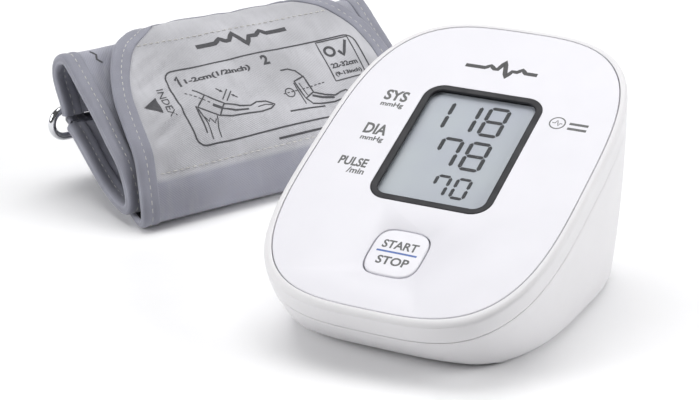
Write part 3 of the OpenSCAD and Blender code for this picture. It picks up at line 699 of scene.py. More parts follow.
def make_bezel():
    """The dark frame of the display, proud of the panel and rounded over on both edges."""
    w, l = DISPLAY_W, DISPLAY_L
    iw, il = w - 2 * DISPLAY_BORDER, l - 2 * DISPLAY_BORDER
    top = 0.15
    outside = [(0, 7, -PANEL_T), (0, 7, -0.1), (0.12, 6.94, top - 0.12), (0.4, 6.8, top - 0.02),
               (1.0, 6.5, top)]
    inside = [(0.9, 4.65, top), (0.35, 4.38, top - 0.05), (0.08, 4.24, top - 0.25), (0, 4.2, top - 0.45),
              (0, 4.2, -0.6), (2, 5.2, -0.6), (2, 5.2, -PANEL_T)]
    rings = [(round_rect(w - cut, l - cut, r, 14), h) for cut, r, h in outside]
    rings += [(round_rect(iw + grow, il + grow, r, 14), h) for grow, r, h in inside]
    bezel = lathe("display_frame", rings, on_face, at=(0, DISPLAY_V), sharp=60, closed=True)
    dress(bezel, "bezel_grey", "monitor", "display_bezel")


def make_window():
    """The clear window, seated under the frame with a softened edge."""
    w, l = DISPLAY_W - 2 * DISPLAY_BORDER + 1.9, DISPLAY_L - 2 * DISPLAY_BORDER + 1.9
    rings = slabs(w, l, (0, 5.1, -1.6), (0, 5.1, -0.75), (0.2, 5.0, -0.61), (0.6, 4.8, -0.6))
    window = lathe("display_pane", rings, on_face, at=(0, DISPLAY_V))
    dress(window, "window_clear", "monitor", "display_window")


# ---- flat artwork, made as thin solids ----
def polygon(points):
    """A flat outline as a thin solid: (points with a height of 0 or 1, faces)."""
    p = np.asarray(points, float)
    area = np.sum(p[:, 0] * np.roll(p[:, 1], -1) - np.roll(p[:, 0], -1) * p[:, 1])
    if area < 0:
        p = p[::-1]
    return tube([np.column_stack([p, np.full(len(p), h)]) for h in (0.0, 1.0)])


def ribbon(path, width, closed=False):
    """A line of even width along a path, as a thin solid with square ends."""
    p = np.asarray(path, float)
    if closed:
        d = np.roll(p, -1, 0) - np.roll(p, 1, 0)
    else:
        d = np.vstack([p[1:], p[-1:]]) - np.vstack([p[:1], p[:-1]])
    side = left_of(unit(d)) * width / 2
    corners = ((p - side, 1), (p + side, 1), (p + side, 0), (p - side, 0))
    return tube(np.stack([np.column_stack([q, np.full(len(p), h)]) for q, h in corners], 1), closed)


def straight(a, b, step=2.0):
    """Points from a to b, close enough together to lie on a curved surface."""
    a, b = np.asarray(a, float), np.asarray(b, float)
    n = max(2, int(np.linalg.norm(b - a) / step) + 2)
    return a + (b - a) * np.linspace(0, 1, n)[:, None]


def polyline(points, width, closed=False, step=2.0):
    """A line of straight runs that follows a curved surface."""
    points = list(points) + ([points[0]] if closed else [])
    runs = [straight(a, b, step)[:-1] for a, b in zip(points[:-1], points[1:])]
    path = np.concatenate(runs + ([] if closed else [np.array([points[-1]], float)]))
    return ribbon(path, width, closed)


def letters(text, left, base, width, height, weight=0.0):
    """Lettering in Blender's own plain font, fitted to a box, as a thin solid."""
    data = bpy.data.curves.new("letters", "FONT")
    data.body = text
    data.extrude = 0.5
    data.offset = weight
    data.resolution_u = 3
    obj = bpy.data.objects.new("letters", data)
    bpy.context.scene.collection.objects.link(obj)
    bpy.context.view_layer.update()
    mesh = bpy.data.meshes.new_from_object(obj.evaluated_get(bpy.context.evaluated_depsgraph_get()))
    p = np.array([v.co for v in mesh.vertices], float)
    faces = [list(f.vertices) for f in mesh.polygons]
    bpy.data.objects.remove(obj)
    low, high = p.min(0), p.max(0)
    q = (p - low) / (high - low)
    q[:, 0] = left + q[:, 0] * width
    q[:, 1] = base + q[:, 1] * height
    return q, faces


def printed(name, shapes, place, height, thick, material, body, slot):
    """Joins flat solids into one printed piece, laid on a surface by its place function."""
    laid = [(place(solid[:, 0], solid[:, 1], height + solid[:, 2] * thick), faces)
            for solid, faces in shapes]
    dress(new_object(name, *joined(laid)), material, body, slot=slot)


# ---- seven segment digits ----
SEGMENTS = {"0": "abcdef", "1": "bc", "7": "abcf", "8": "abcdefg"}
SEGMENT_GAP = 0.16
# text, its base line, then a digit's width, height, stroke and pitch
READINGS = (("118", 16.2, 8.4, 14.8, 1.5, 10.35), ("78", -0.9, 8.4, 14.3, 1.5, 10.35),
            ("70", -14.5, 6.0, 10.2, 1.25, 7.5))
# text, left, base line, width, height and added weight
FACE_LABELS = (("SYS", -35.8, 24.6, 8.8, 5.3, 0.032), ("mmHg", -35.6, 20.9, 8.6, 2.9, 0.03),
               ("DIA", -35.9, 7.1, 8.5, 5.3, 0.032), ("mmHg", -35.5, 3.3, 8.6, 2.9, 0.03),
               ("PULSE", -37.9, -9.2, 10.6, 4.2, 0.03), ("/min", -33.2, -12.5, 6.4, 2.8, 0.025))


def digit(character, left, base, width, height, stroke):
    """One seven segment digit as tapered bars."""
    x0, x1 = left + stroke / 2, left + width - stroke / 2
    y0, y2 = base + stroke / 2, base + height - stroke / 2
    y1 = (y0 + y2) / 2
    ends = {"a": (x0, y2, x1, y2), "b": (x1, y1, x1, y2), "c": (x1, y0, x1, y1), "d": (x0, y0, x1, y0),
            "e": (x0, y0, x0, y1), "f": (x0, y1, x0, y2), "g": (x0, y1, x1, y1)}
    shapes = []
    for key in SEGMENTS[character]:
        a, b = np.array(ends[key]).reshape(2, 2)
        d = unit(b - a)
        side = left_of(d) * stroke / 2
        a, b = a + d * SEGMENT_GAP, b - d * SEGMENT_GAP
        tip = d * stroke / 2
        shapes.append(polygon([a, a + tip - side, b - tip - side, b, b - tip + side, a + tip + side]))
    return shapes


def make_display():
    """The liquid crystal cell: a reflective ground under glass, and the three readings."""
    rings = slabs(CELL_W, CELL_L, (0, 0.5, -4.6), (0, 0.5, -3.55))
    rings += [(round_rect(CELL_W - 0.4, CELL_L - 0.8, 0.5), h) for h in (-3.5, LCD_TOP)]
    cell = lathe("lcd_cell", rings, on_face, at=(0, DISPLAY_V))
    dress(cell, "lcd_glass", "monitor", "lcd_panel")
    shapes = []
    for text, base, width, height, stroke, pitch in READINGS:
        for i, character in enumerate(reversed(text)):
            shapes += digit(character, 11.1 - width - i * pitch, base, width, height, stroke)
    printed("lcd_digits", shapes, on_face, LCD_TOP, INK_T, "lcd_dark", "monitor", "lcd_glass")


def make_face_print():
    """Generic labels beside the display, a plain pulse line above it and a plain icon at its right."""
    trace = [(-13.6, 48), (-6.2, 48), (-4.4, 49.4), (-2.6, 48), (-1.4, 48), (0.2, 52.4), (2.6, 44.6),
             (4.2, 48), (6.0, 48), (7.6, 49.6), (9.2, 48), (13.6, 48)]
    printed("pulse_mark", [polyline(trace, 1.7)], on_face, 0.0, INK_T, "ink_dark", "monitor", "panel_white")
    shapes = [letters(*label) for label in FACE_LABELS]
    shapes.append(ribbon(circle(2.7, 40) + np.array([29.2, 26.7]), 0.45, True))
    beat = [(27.4, 26.6), (28.4, 26.6), (29.0, 28.0), (29.8, 25.4), (30.2, 26.6), (31.0, 26.6)]
    shapes.append(polyline(beat, 0.35))
    shapes += [polyline([(33.4, base), (40.2, base)], 1.1) for base in (27.3, 24.9)]
    printed("face_print", shapes, on_face, 0.0, INK_T, "ink_grey", "monitor", "panel_white")


def key_place(u, v, w):
    """The key's top is slightly domed."""
    k = np.minimum(1, np.hypot(u / (BUTTON_W / 2), (v - BUTTON_V) / (BUTTON_L / 2)))
    return on_face(u, v, w + KEY_DOME + KEY_DOME * (1 - k * k))


def make_key_print():
    """The two words on the key and the bar between them."""
    words = [letters("START", -6.3, -42.2, 12.6, 3.6, 0.024), letters("STOP", -5.5, -49.3, 11.4, 3.6, 0.024)]
    bar = [polyline([(-7.2, -43.7), (7.2, -43.7)], 0.75)]
    for name, shapes, colour in (("key_print", words, "ink_grey"), ("key_bar", bar, "ink_blue")):
        printed(name, shapes, key_place, -0.01, 0.05, colour, "button", "button_white")


# ---- cuff curves ----
def smooth(points):
    """A Catmull-Rom curve through points."""
    p = np.asarray(points, float)
    p = np.vstack([2 * p[0] - p[1], p, 2 * p[-1] - p[-2]])
    out = []
    for i in range(1, len(p) - 2):
        t = np.arange(CURVE_STEPS)[:, None] / CURVE_STEPS
        a, b, c, d = p[i - 1:i + 3]
        out.append(0.5 * (2 * b + (c - a) * t + (2 * a - 5 * b + 4 * c - d) * t ** 2
                          + (3 * b - a - 3 * c + d) * t ** 3))
    out.append(p[-2:-1])
    return np.concatenate(out)


def cells(x, y, size, seed):
    """Smooth seeded noise from -1 to 1 on a lattice of that cell size (two numbers)."""
    table = np.random.default_rng(seed).uniform(-1, 1, (64, 64))
    u, v = np.broadcast_arrays(np.asarray(x, float) / size[0] + 20, np.asarray(y, float) / size[1] + 20)
    i, j = np.floor(u).astype(int), np.floor(v).astype(int)
    fu, fv = u - i, v - j
    fu, fv = fu * fu * (3 - 2 * fu), fv * fv * (3 - 2 * fv)
    i, j = i % 63, j % 63
    low = table[i, j] * (1 - fu) + table[i + 1, j] * fu
    high = table[i, j + 1] * (1 - fu) + table[i + 1, j + 1] * fu
    return low * (1 - fv) + high * fv


def cuff_point(x, y, z):
    """A point of the cuff's own frame: along the arm, away from the front, up."""
    x, y, z = np.broadcast_arrays(x, y, z)
    cos, sin = math.cos(CUFF_TURN), math.sin(CUFF_TURN)
    return np.stack([CUFF_ORIGIN[0] + x * cos - y * sin, CUFF_ORIGIN[1] + x * sin + y * cos, z], -1)


class Band:
    """A strip of cloth along a curve: x across it, s along it and h out of its outer face."""

    def __init__(self, points, outward, relief):
        self.curve = smooth(points)
        step = np.linalg.norm(np.diff(self.curve, axis=0), axis=1)
        self.s = np.concatenate([[0], np.cumsum(step)])
        self.length = self.s[-1]
        self.normal = -outward * left_of(unit(np.gradient(self.curve, axis=0)))
        self.relief = relief

    def place(self, x, s, h):
        x, s, h = np.broadcast_arrays(np.asarray(x, float), s, h)
        inside = np.clip(s, 0, self.length)
        h = h + self.relief(x, inside)
        point = [np.interp(inside, self.s, self.curve[:, k]) for k in (0, 1)]
        out = [np.interp(inside, self.s, self.normal[:, k]) for k in (0, 1)]
        along = s - inside
        y = point[0] + out[0] * h - out[1] * along
        z = point[1] + out[1] * h + out[0] * along
        return cuff_point(x, y, z)


# the sections of the sleeve and the tail, and where the tail's two edges are at each of its points
SLEEVE = [(54.3, 30.2), (54.7, 32.8), (56.6, 36.6), (59.1, 41), (60.3, 45), (59.6, 49), (56.8, 51.9),
          (52, 53), (46.5, 49.9), (40.5, 45.3), (30.5, 37.9), (21, 30.2), (13.5, 23.8), (9.6, 18.6),
          (6.9, 12.5), (6.8, 7.9), (10, 5.5), (17.3, 6.5), (26.2, 10.4), (37, 17.6), (46, 23.6), (51, 26.2)]
TAIL = [(52, 26.6), (59, 26.5), (63.4, 22.8), (63.7, 16.5), (60.5, 9), (53, 3.8), (44.5, 2.1), (28, 1.9),
        (10, 1.9), (3, 2.0), (-1.6, 3.4), (-2.4, 7.5), (-0.2, 13.5), (3.8, 20.3), (8.5, 26.3), (16.8, 33.8),
        (27.5, 42), (38.3, 49.8), (46, 54.9), (52, 57), (54, 57.2), (57.4, 56.3), (60, 54.4), (62.2, 51.6)]
TAIL_LEFT = [2, 3, 7, 13, 16, 17, 15, 9, 4, 2, 1, 1, 2, 3.5, 5, 6, 8, 12.6, 18, 24.5, 30, 33, 38, 47]
TAIL_RIGHT = [132, 132, 133] + [134] * 13 + [133.6, 130.5, 125, 120, 117.5, 113, 108, 99]
# the same two edges on the flap alone, by the length along the tail, for its relief
FLAP_S = [86, 103, 118, 130, 143, 156, 166, 172, 174, 178, 181, 184]
FLAP_X0 = [1, 2] + TAIL_LEFT[14:]
FLAP_X1 = TAIL_RIGHT[12:]


def gathers(along, inside, seed):
    """Small puckers that run in from a stitched edge and die out."""
    fade = np.exp(-np.clip(inside, 0, None) / 6.0)
    return fade * (cells(along, inside, (4.5, 30), seed) + 0.6 * cells(along, inside, (2.6, 22), seed + 1))


def sleeve_relief(x, s):
    """Gentle unevenness of the sleeve: long soft folds along the arm, flatter near the taped edges."""
    inside = np.minimum(x, CUFF_W - x) - TAPE_W
    edge = np.clip((inside + TAPE_W) / 16, 0.15, 1)
    folds = 0.5 * cells(x, s, (34, 11), 3) + 0.22 * cells(x, s, (13, 7), 4)
    return edge * folds + 0.16 * cells(x, s, (60, 9), 5) + 0.3 * np.clip(inside, 0, 1) * gathers(s, inside, 6)


def tail_relief(x, s):
    """The printed flap swells between its seams, and creases run in from its stitched left edge."""
    flap = np.clip((s - 100) / 8, 0, 1)
    swell = np.sin(np.clip((s - 108) / 54, 0, 1) * math.pi) ** 0.7
    left = np.interp(s, FLAP_S, FLAP_X0)
    right = np.interp(s, FLAP_S, FLAP_X1)
    inside = np.minimum(x - left, right - x) - TAPE_W
    free = np.clip(inside / 5, 0, 1)
    near_left = np.exp(-np.clip(x - left - TAPE_W, 0, None) / 26)
    creases = 1.5 * cells(s - 0.35 * x, x, (6.5, 45), 12) + 0.75 * cells(s - 0.5 * x, x, (3.0, 24), 15)
    folds = 0.6 * cells(x, s, (34, 12), 8) + 0.42 * cells(x + 0.5 * s, s, (8, 13), 9)
    seams = np.exp(-np.abs(s - 107.3) / 2.5) + np.exp(-np.abs(s - 162.3) / 2.5)
    pull = -0.22 * seams * (1 + 0.7 * cells(x, s, (5, 30), 13))
    low = 0.3 * cells(x, s, (38, 9), 11) * (1 - flap)
    flap_part = flap * (0.55 * swell + folds + near_left * creases + pull)
    return free * (flap_part + low + 0.1 * gathers(s, inside, 14))


sleeve = Band(SLEEVE, 1, sleeve_relief)
tail = Band(TAIL, -1, tail_relief)


def spread_over(band, points, values):
    """Values given at a band's own points, as a function of the length along it."""
    marks = [band.s[i * CURVE_STEPS] for i in range(len(points))]
    return lambda s: np.interp(s, marks, values)


tail_x0 = spread_over(tail, TAIL, TAIL_LEFT)
tail_x1 = spread_over(tail, TAIL, TAIL_RIGHT)


def add_cloth_map(obj, x, s, h):
    """Keeps each point's place on its cloth, in millimetres, for the weave."""
    attribute = obj.data.attributes.new("cloth", "FLOAT_VECTOR", "POINT")
    values = np.column_stack([np.ravel(v) for v in np.broadcast_arrays(x, s, h)])
    attribute.data.foreach_set("vector", values.astype(np.float32).ravel())


def cloth_sheet(name, band, x_of, s_range, h_in, h_out, material, node, cols=90, rows=110):
    """A closed sheet of cloth between two heights on a band; x_of gives its two edges at a length s."""
    s = np.linspace(*s_range, rows)[:, None]
    x0, x1 = x_of(s)
    x = x0 + (x1 - x0) * np.linspace(0, 1, cols)[None, :]
    s = np.broadcast_to(s, x.shape)
    points = np.concatenate([band.place(x, s, h).reshape(-1, 3) for h in (h_out, h_in)])
    count = rows * cols
    faces = grid_faces(rows, cols) + [f[::-1] for f in grid_faces(rows, cols, start=count)]
    rim = list(range(cols)) + [i * cols + cols - 1 for i in range(1, rows)]
    rim += [(rows - 1) * cols + i for i in range(cols - 2, -1, -1)]
    rim += [i * cols for i in range(rows - 2, 0, -1)]
    faces += [[a, a + count, b + count, b] for a, b in zip(rim, rim[1:] + rim[:1])]
    sheet = new_object(name, points, faces, CLOTH_SHARP)
    add_cloth_map(sheet, np.tile(x.ravel(), 2), np.tile(s.ravel(), 2), np.repeat([h_out, h_in], count))
    return dress(sheet, material, "cuff", node)


def inward(path, side):
    """Unit directions across a path, to its left if side is 1."""
    return side * left_of(unit(np.gradient(path, axis=0)))


def resample(path, step):
    length = np.concatenate([[0], np.cumsum(np.linalg.norm(np.diff(path, axis=0), axis=1))])
    marks = np.linspace(0, length[-1], int(length[-1] / step) + 1)
    return np.column_stack([np.interp(marks, length, path[:, k]) for k in (0, 1)])


def tape_profile(half):
    """The folded tape's section round a cloth's edge: (in from the edge, out of the cloth), closed."""
    d = np.array([7.0, 6.85, 6.2, 5.4, 4.6, 3.7, 2.9, 2.2, 1.4, 0.7, 0.2, -0.15, -0.35])
    puff = np.array([0.1, 0.4, 0.52, 0.54, 0.46, 0.26, 0.46, 0.58, 0.62, 0.52, 0.28, -0.25, -half])
    top = np.column_stack([d, half + puff])
    low = np.column_stack([d[-2::-1], -half - puff[-2::-1]])
    inner = np.array([[7.0, -half], [5.0, -half], [2.5, -half], [0.5, -half], [0.15, -half + 0.35],
                      [0.15, half - 0.35], [0.5, half], [2.5, half], [5.0, half], [7.0, half]])
    return np.concatenate([top, low, inner])


def edge_tape(name, band, path, side, half, seed, node):
    """Bias tape folded over a cloth's edge along a path of (x, s) points."""
    path = resample(path, TAPE_STEP)
    across = inward(path, side)
    run = np.arange(len(path)) * TAPE_STEP
    wobble = 0.25 * cells(run, seed, (14, 1), seed)
    rings, maps = [], []
    for d, h in tape_profile(half):
        at = path + across * (d + wobble * (0.3 + 0.7 * d / TAPE_W))[:, None]
        pucker = 0.07 * cells(run, d * 0.7, (2.6, 3.0), seed + 1) * np.sign(h) * (abs(h) > half)
        rings.append(band.place(at[:, 0], at[:, 1], h + pucker))
        maps.append(np.column_stack([np.full(len(path), d), run, np.full(len(path), h)]))
    tape = skin(name, np.stack(rings, 1), TAPE_SHARP)
    add_cloth_map(tape, *np.stack(maps, 1).reshape(-1, 3).T)
    return dress(tape, "cuff_tape", "cuff", node)


def thread_line(band, path, height, radius=0.17, sides=6):
    """Stitches along a path of (x, s) points, as (points, faces) of small rods that dip into the cloth."""
    path = resample(path, STITCH_STEP)
    facing = math.copysign(1, height)
    turn = turns(sides)
    rods = []
    for start in range(5, len(path) - max(STITCH_LIFT) - 2, STITCH_PITCH):
        rings = []
        for mark, up in STITCH_LIFT.items():
            at = path[start + mark]
            d = unit(path[start + mark + 1] - path[start + mark - 1])
            x, s = at[0] - d[1] * radius * np.cos(turn), at[1] + d[0] * radius * np.cos(turn)
            rings.append(band.place(x, s, height + facing * up + radius * np.sin(turn)))
        rods.append(tube(rings))
    return joined(rods)


def thread_piece(name, lines):
    """Rows of stitches as one piece of the cuff."""
    dress(new_object(name, *joined(lines), THREAD_SHARP), "thread_light", "cuff", slot="cuff_tape")


def even(x0, x1):
    """The same two edges at every length."""
    return lambda s: (np.full_like(s, x0), np.full_like(s, x1))


STITCH_IN = 3.7
STITCH_UP = 0.14
STITCH_STEP = 0.1
STITCH_PITCH = 28
# how far a stitch stands up, at so many steps from its start
STITCH_LIFT = {0: -0.12, 3: 0.08, 9: 0.13, 15: 0.08, 18: -0.12}


def tape_stitches(band, path, side, half):
    """The row of stitches along a tape, on both faces of its cloth."""
    line = path + inward(path, side) * STITCH_IN
    return [thread_line(band, line, height) for height in (half + STITCH_UP, -half - STITCH_UP)]


def make_sleeve():
    """The air-filled part: cover outside, lining inside, bladder between and tape over both edges."""
    half = BAND_T / 2
    edges = even(SEAM_IN, CUFF_W - SEAM_IN)
    whole = (0, sleeve.length)
    cover = cloth_sheet("sleeve_cover", sleeve, edges, whole, half - PLY_T, half, "cuff_cloth", "cuff_cover")
    lining = cloth_sheet("sleeve_lining", sleeve, edges, whole, -half, -half + PLY_T, "cuff_lining",
                         "cuff_lining")
    bladder = cloth_sheet("air_bladder", sleeve, even(14, CUFF_W - 10), (20, sleeve.length - 16),
                          -PLY_T, PLY_T, "bladder_film", "cuff_bladder", 50, 60)
    s = np.linspace(-0.2, sleeve.length + 0.2, 120)
    threads = []
    for name, x, side, seed in (("sleeve_tape_near", 0, -1, 21), ("sleeve_tape_far", CUFF_W, 1, 31)):
        path = np.column_stack([np.full_like(s, x), s])
        tape = edge_tape(name, sleeve, path, side, half, seed, "cuff_tube_binding")
        threads += tape_stitches(sleeve, path, side, half)
    thread_piece("sleeve_stitches", threads)


def tail_outline():
    """The tail's edge: up its left side, round both corners of its free end and down its right side."""
    s = np.linspace(0, tail.length, 200)
    left = np.column_stack([tail_x0(s), s])
    right = np.column_stack([tail_x1(s), s])[::-1]
    path = resample(np.concatenate([left, right]), 1.0)
    kernel = np.ones(9) / 9
    ends = np.pad(path, ((4, 4), (0, 0)), mode="edge")
    return np.column_stack([np.convolve(ends[:, k], kernel, "valid") for k in (0, 1)])


def make_tail():
    """The tail: plain behind and below, printed on the flap, with tape round its edge."""
    half = TAIL_T / 2
    def edges(s):
        return tail_x0(s) + 1.2, tail_x1(s) - 1.2
    body = cloth_sheet("tail_cloth", tail, edges, (0, tail.length - 1.4), -half, half, "cuff_cloth",
                       "cuff_tail", 110, 160)
    path = tail_outline()
    tape = edge_tape("tail_tape", tail, path, -1, half, 41, "cuff_tail_binding")
    threads = tape_stitches(tail, path, -1, half)
    for s, x0, x1 in ((164.0, 27.0, 117.0), (109.0, 12.0, 126.0)):
        threads.append(thread_line(tail, straight((x0, s), (x1, s), 0.5), half + 0.04))
    thread_piece("tail_stitches", threads)


# the print's lengths are measured from a point this far along the tail
FLAP_SHIFT = -1.7


def flap_place(x, s, h):
    """The flap's outer face, where the print lies: s is measured along that face."""
    return tail.place(x, s + FLAP_SHIFT, TAIL_T / 2 + h)


def sleeve_place(x, s, h):
    return sleeve.place(x, s, BAND_T / 2 + h)


def arrow(tip, back, head=1.3, width=0.45):
    """A line that ends in a solid head."""
    tip, back = np.array(tip, float), np.array(back, float)
    d = unit(tip - back)
    side = left_of(d) * head * 0.5
    neck = tip - d * head
    return [polygon([tip, neck + side, neck - side]), ribbon([back, neck], width)]


def dashes(a, b, count, width=0.4):
    """A broken line of that many dashes."""
    a, b = np.array(a, float), np.array(b, float)
    return [ribbon([a + (b - a) * (i / count), a + (b - a) * ((i + 0.55) / count)], width)
            for i in range(count)]


def turned(shape, at):
    """A flat shape turned a quarter clockwise about the origin, then moved."""
    solid, faces = shape
    moved = np.column_stack([at[0] + solid[:, 1], at[1] - solid[:, 0], solid[:, 2]])
    return moved, faces


def rounded_frame(x0, s0, x1, s1, r):
    """A rectangle with round corners between two corners, with enough points to follow a curved cloth."""
    p = round_rect(x1 - x0, s1 - s0, r, 8) + np.array([(x0 + x1) / 2, (s0 + s1) / 2])
    return resample(np.vstack([p, p[:1]]), 1.5)[:-1]


LINE = 0.62
# strokes of the instruction print: width, then points
FLAP_STROKES = (
    # the number of the first picture
    (0.85, (35.4, 147.3), (36.8, 148.6), (36.8, 144.0)),
    # an upper arm in a band, with the forearm and hand held out
    (LINE, (39.9, 141.2), (43.5, 137.7)),
    (LINE, (49.6, 132.1), (55.5, 129.6), (60.2, 128.8), (63.4, 129.9), (67.4, 129.3), (70.4, 127.0),
     (68.0, 125.6), (63.5, 125.2), (55.8, 125.8), (50, 126.4), (45.4, 127.4)),
    (0.4, (63.0, 127.6), (66.5, 127.9), (69.4, 127.0)),
    (1.3, (45.0, 132.8), (48.0, 130.4)),
    (0.7, (48.0, 130.2), (53.0, 128.2), (58.5, 127.4)),
    (LINE, (37.6, 133.6), (37.2, 126), (36.9, 121.6)),
    (0.45, (38.0, 132.4), (39.0, 125.5), (38.6, 118.8)),
    (0.45, (44.2, 127.6), (42.8, 123), (42.2, 118.8)),
    (0.4, (38.8, 128.4), (39.8, 125.9), (40.8, 127.3), (42.0, 124.8), (43.2, 126.4)),
    (0.45, (50.0, 134.0), (54.0, 138.2)),
    (0.45, (51.3, 132.9), (55.3, 137.0)),
    # a banded arm resting on a table
    (LINE, (80.6, 141.2), (84.0, 141.2), (86.8, 139.6), (88.6, 136.4)),
    (0.4, (85.6, 134.0), (86.6, 128.0)),
    (LINE, (89.8, 128.6), (94.2, 126.4), (98.4, 125.2), (101.6, 126.2), (104.2, 126.6), (106.0, 125.2),
     (103.4, 123.4), (97.0, 122.6), (90.8, 123.2), (87.0, 123.8), (85.2, 126.4)),
    (0.9, (88.6, 127.4), (92.6, 125.6), (97.6, 124.4)),
    (0.45, (83.4, 134.6), (83.8, 124.2)),
    (LINE, (75.2, 122.4), (92.0, 121.8)),
    # the tick in the box of arm sizes
    (1.2, (110.4, 144.6), (111.8, 142.0), (116.0, 149.0)),
    # a plain pulse line above the pictures and a plain bar below them
    (1.9, (51.8, 160.4), (60.5, 160.4), (63.0, 162.0), (65.4, 160.4), (67.0, 160.4), (69.6, 163.7),
     (73.6, 156.4), (76.0, 160.4), (79.5, 160.4), (82.0, 162.2), (84.4, 160.4), (93.8, 160.4)),
    (0.9, (66.0, 113.2), (88.0, 113.2)),
)
# the two bands round an arm and the box of arm sizes
FLAP_LOOPS = (
    (LINE, (43.6, 137.7), (49.7, 132.3), (45.4, 127.3), (38.2, 133.0)),
    (LINE, (84.0, 135.2), (88.8, 136.4), (89.8, 128.8), (85.0, 126.6)),
    (0.5, (102.8, 150.6), (117.8, 150.4), (117.0, 131.6), (102.0, 131.2)),
)
FLAP_LABELS = (("2", 75.0, 145.2, 3.2, 4.7, 0.04), ("1-2cm(1/2inch)", 39.2, 144.2, 29.4, 2.9, 0.035),
               ("22-32cm", 103.6, 137.0, 12.4, 2.4, 0.035), ("(9-13inch)", 103.4, 132.8, 12.6, 2.3, 0.035))


def make_flap_print():
    """Generic instruction print: numbered pictures of an arm, an index mark and a size range."""
    shapes = [ribbon(rounded_frame(31.6, 117, 120.3, 151.4, 4), LINE, True)]
    shapes += [polyline(points, width) for width, *points in FLAP_STROKES]
    shapes += [polyline(points, width, True) for width, *points in FLAP_LOOPS]
    shapes += [letters(*label) for label in FLAP_LABELS]
    for r, steps, at, width in ((2.0, 28, (79.6, 130.6), 0.45), (2.1, 24, (106.6, 145.2), 1.1)):
        shapes.append(ribbon(circle(r, steps) + np.array(at), width, True))
    shapes += arrow((51.7, 137.2), (49.6, 139.5)) + arrow((54.4, 135.5), (56.5, 133.4))
    shapes += dashes((36.2, 140.4), (45.0, 133.6), 6) + dashes((76.6, 130.6), (97.0, 131.6), 11)
    for k in np.arange(0.04, 1, 0.08):
        x, reach = 17.1 + 7 * k, 3.75 * k
        shapes.append(polyline([(x, 137.75 - reach), (x, 137.75 + reach)], 0.58, step=1.0))
    shapes.append(turned(letters("INDEX", 0, 0, 13.2, 2.9, 0.0), (25.6, 144.6)))
    mark = [(11.5, 29), (13.0, 31), (12.2, 33), (13.8, 35)]
    for name, marks, place in (("sleeve_print", [polyline(mark, 0.8)], sleeve_place),
                               ("flap_print", shapes, flap_place)):
        printed(name, marks, place, 0.02, CLOTH_INK_T, "print_dark", "cuff", "cuff_cloth")


def make_hook_tape():
    """Hook tape inside the flap, down from its end and round the tip of the sleeve."""
    half = TAIL_T / 2
    first, last = (tail.s[i * CURVE_STEPS] for i in (8, 15))
    def edges(s):
        return tail_x0(s) + 1, tail_x1(s) - 12
    tape = cloth_sheet("hook_strip", tail, edges, (first, last), -half - 0.8, -half, "hook_black",
                       "cuff_hook_tape", 90, 60)


RING_Y, RING_Z0, RING_Z1 = 58.6, 20.0, 31.0
RING_X0, RING_X1 = 2.5, 141.5
WIRE_R = 1.5
WELD_AT, WELD_BUMP = 20, 0.12


def half_circle(x, z, r, start):
    """Points and outward directions round a half circle, without its two ends."""
    turn = quarter(17, start, 180)[1:-1]
    return [(x + r * math.cos(a), z + r * math.sin(a), math.cos(a), math.sin(a)) for a in turn]


def make_ring():
    """The bright wire ring: two long bars joined by half circles, with a butt weld in the lower bar."""
    r = (RING_Z1 - RING_Z0) / 2
    middle = (RING_Z0 + RING_Z1) / 2
    bar = np.linspace(RING_X0, RING_X1, 30)
    path = [(x, RING_Z0, 0, -1) for x in bar] + half_circle(RING_X1, middle, r, -90)
    path += [(x, RING_Z1, 0, 1) for x in bar[::-1]] + half_circle(RING_X0, middle, r, 90)
    sides = turns(20)
    rings = []
    for i, (x, z, nx, nz) in enumerate(path):
        wire = WIRE_R + (WELD_BUMP if i == WELD_AT else 0)
        out, side = wire * np.cos(sides), wire * np.sin(sides)
        rings.append(cuff_point(x + nx * out, RING_Y + side, z + nz * out))
    dress(skin("wire_ring", rings, THREAD_SHARP, closed=True), "ring_chrome", "ring", "cuff_ring")


def make_ring_loop():
    """Cloth looped round the ring's upper bar and stitched to the start of the sleeve."""
    turn = np.radians(np.linspace(70, -250, 34))
    wrap = np.column_stack([RING_Y + 2.15 * np.cos(turn), RING_Z1 + 2.15 * np.sin(turn)])
    path = np.vstack([[60.4, 38.8], wrap, [57.0, 33.9]])
    loop = Band(path, -1, lambda x, s: 0.05 * cells(x, s, (7, 5), 51))
    piece = cloth_sheet("ring_loop", loop, even(3.5, 136.5), (0, loop.length), -0.36, 0.36, "cuff_lining",
                        "cuff_ring_loop", 90, 60)
    line = straight((5, 1.6), (135, 1.6), 0.4)
    thread_piece("loop_stitches", [thread_line(loop, line, 0.36)])


def make_port():
    """The air port on the far end of the sleeve: a flange and a ridged nozzle."""
    def place(u, v, w):
        return cuff_point(CUFF_W + w, 27 + u, 10.6 + v)
    outlines = discs((3.6, 0), (4.2, 0.25), (4.2, 1.1), (3.9, 1.5), (2.7, 1.7), (2.6, 3.0))
    for base in (3.0, 5.0, 7.0):
        outlines += discs((3.15, base + 0.25), (3.15, base + 0.6), (2.65, base + 1.9))
    outlines += discs((2.2, 9.0), (2.0, 9.0), (2.0, 1.0))
    dress(lathe("air_port", outlines, place), "port_grey", "cuff", "bladder_port")


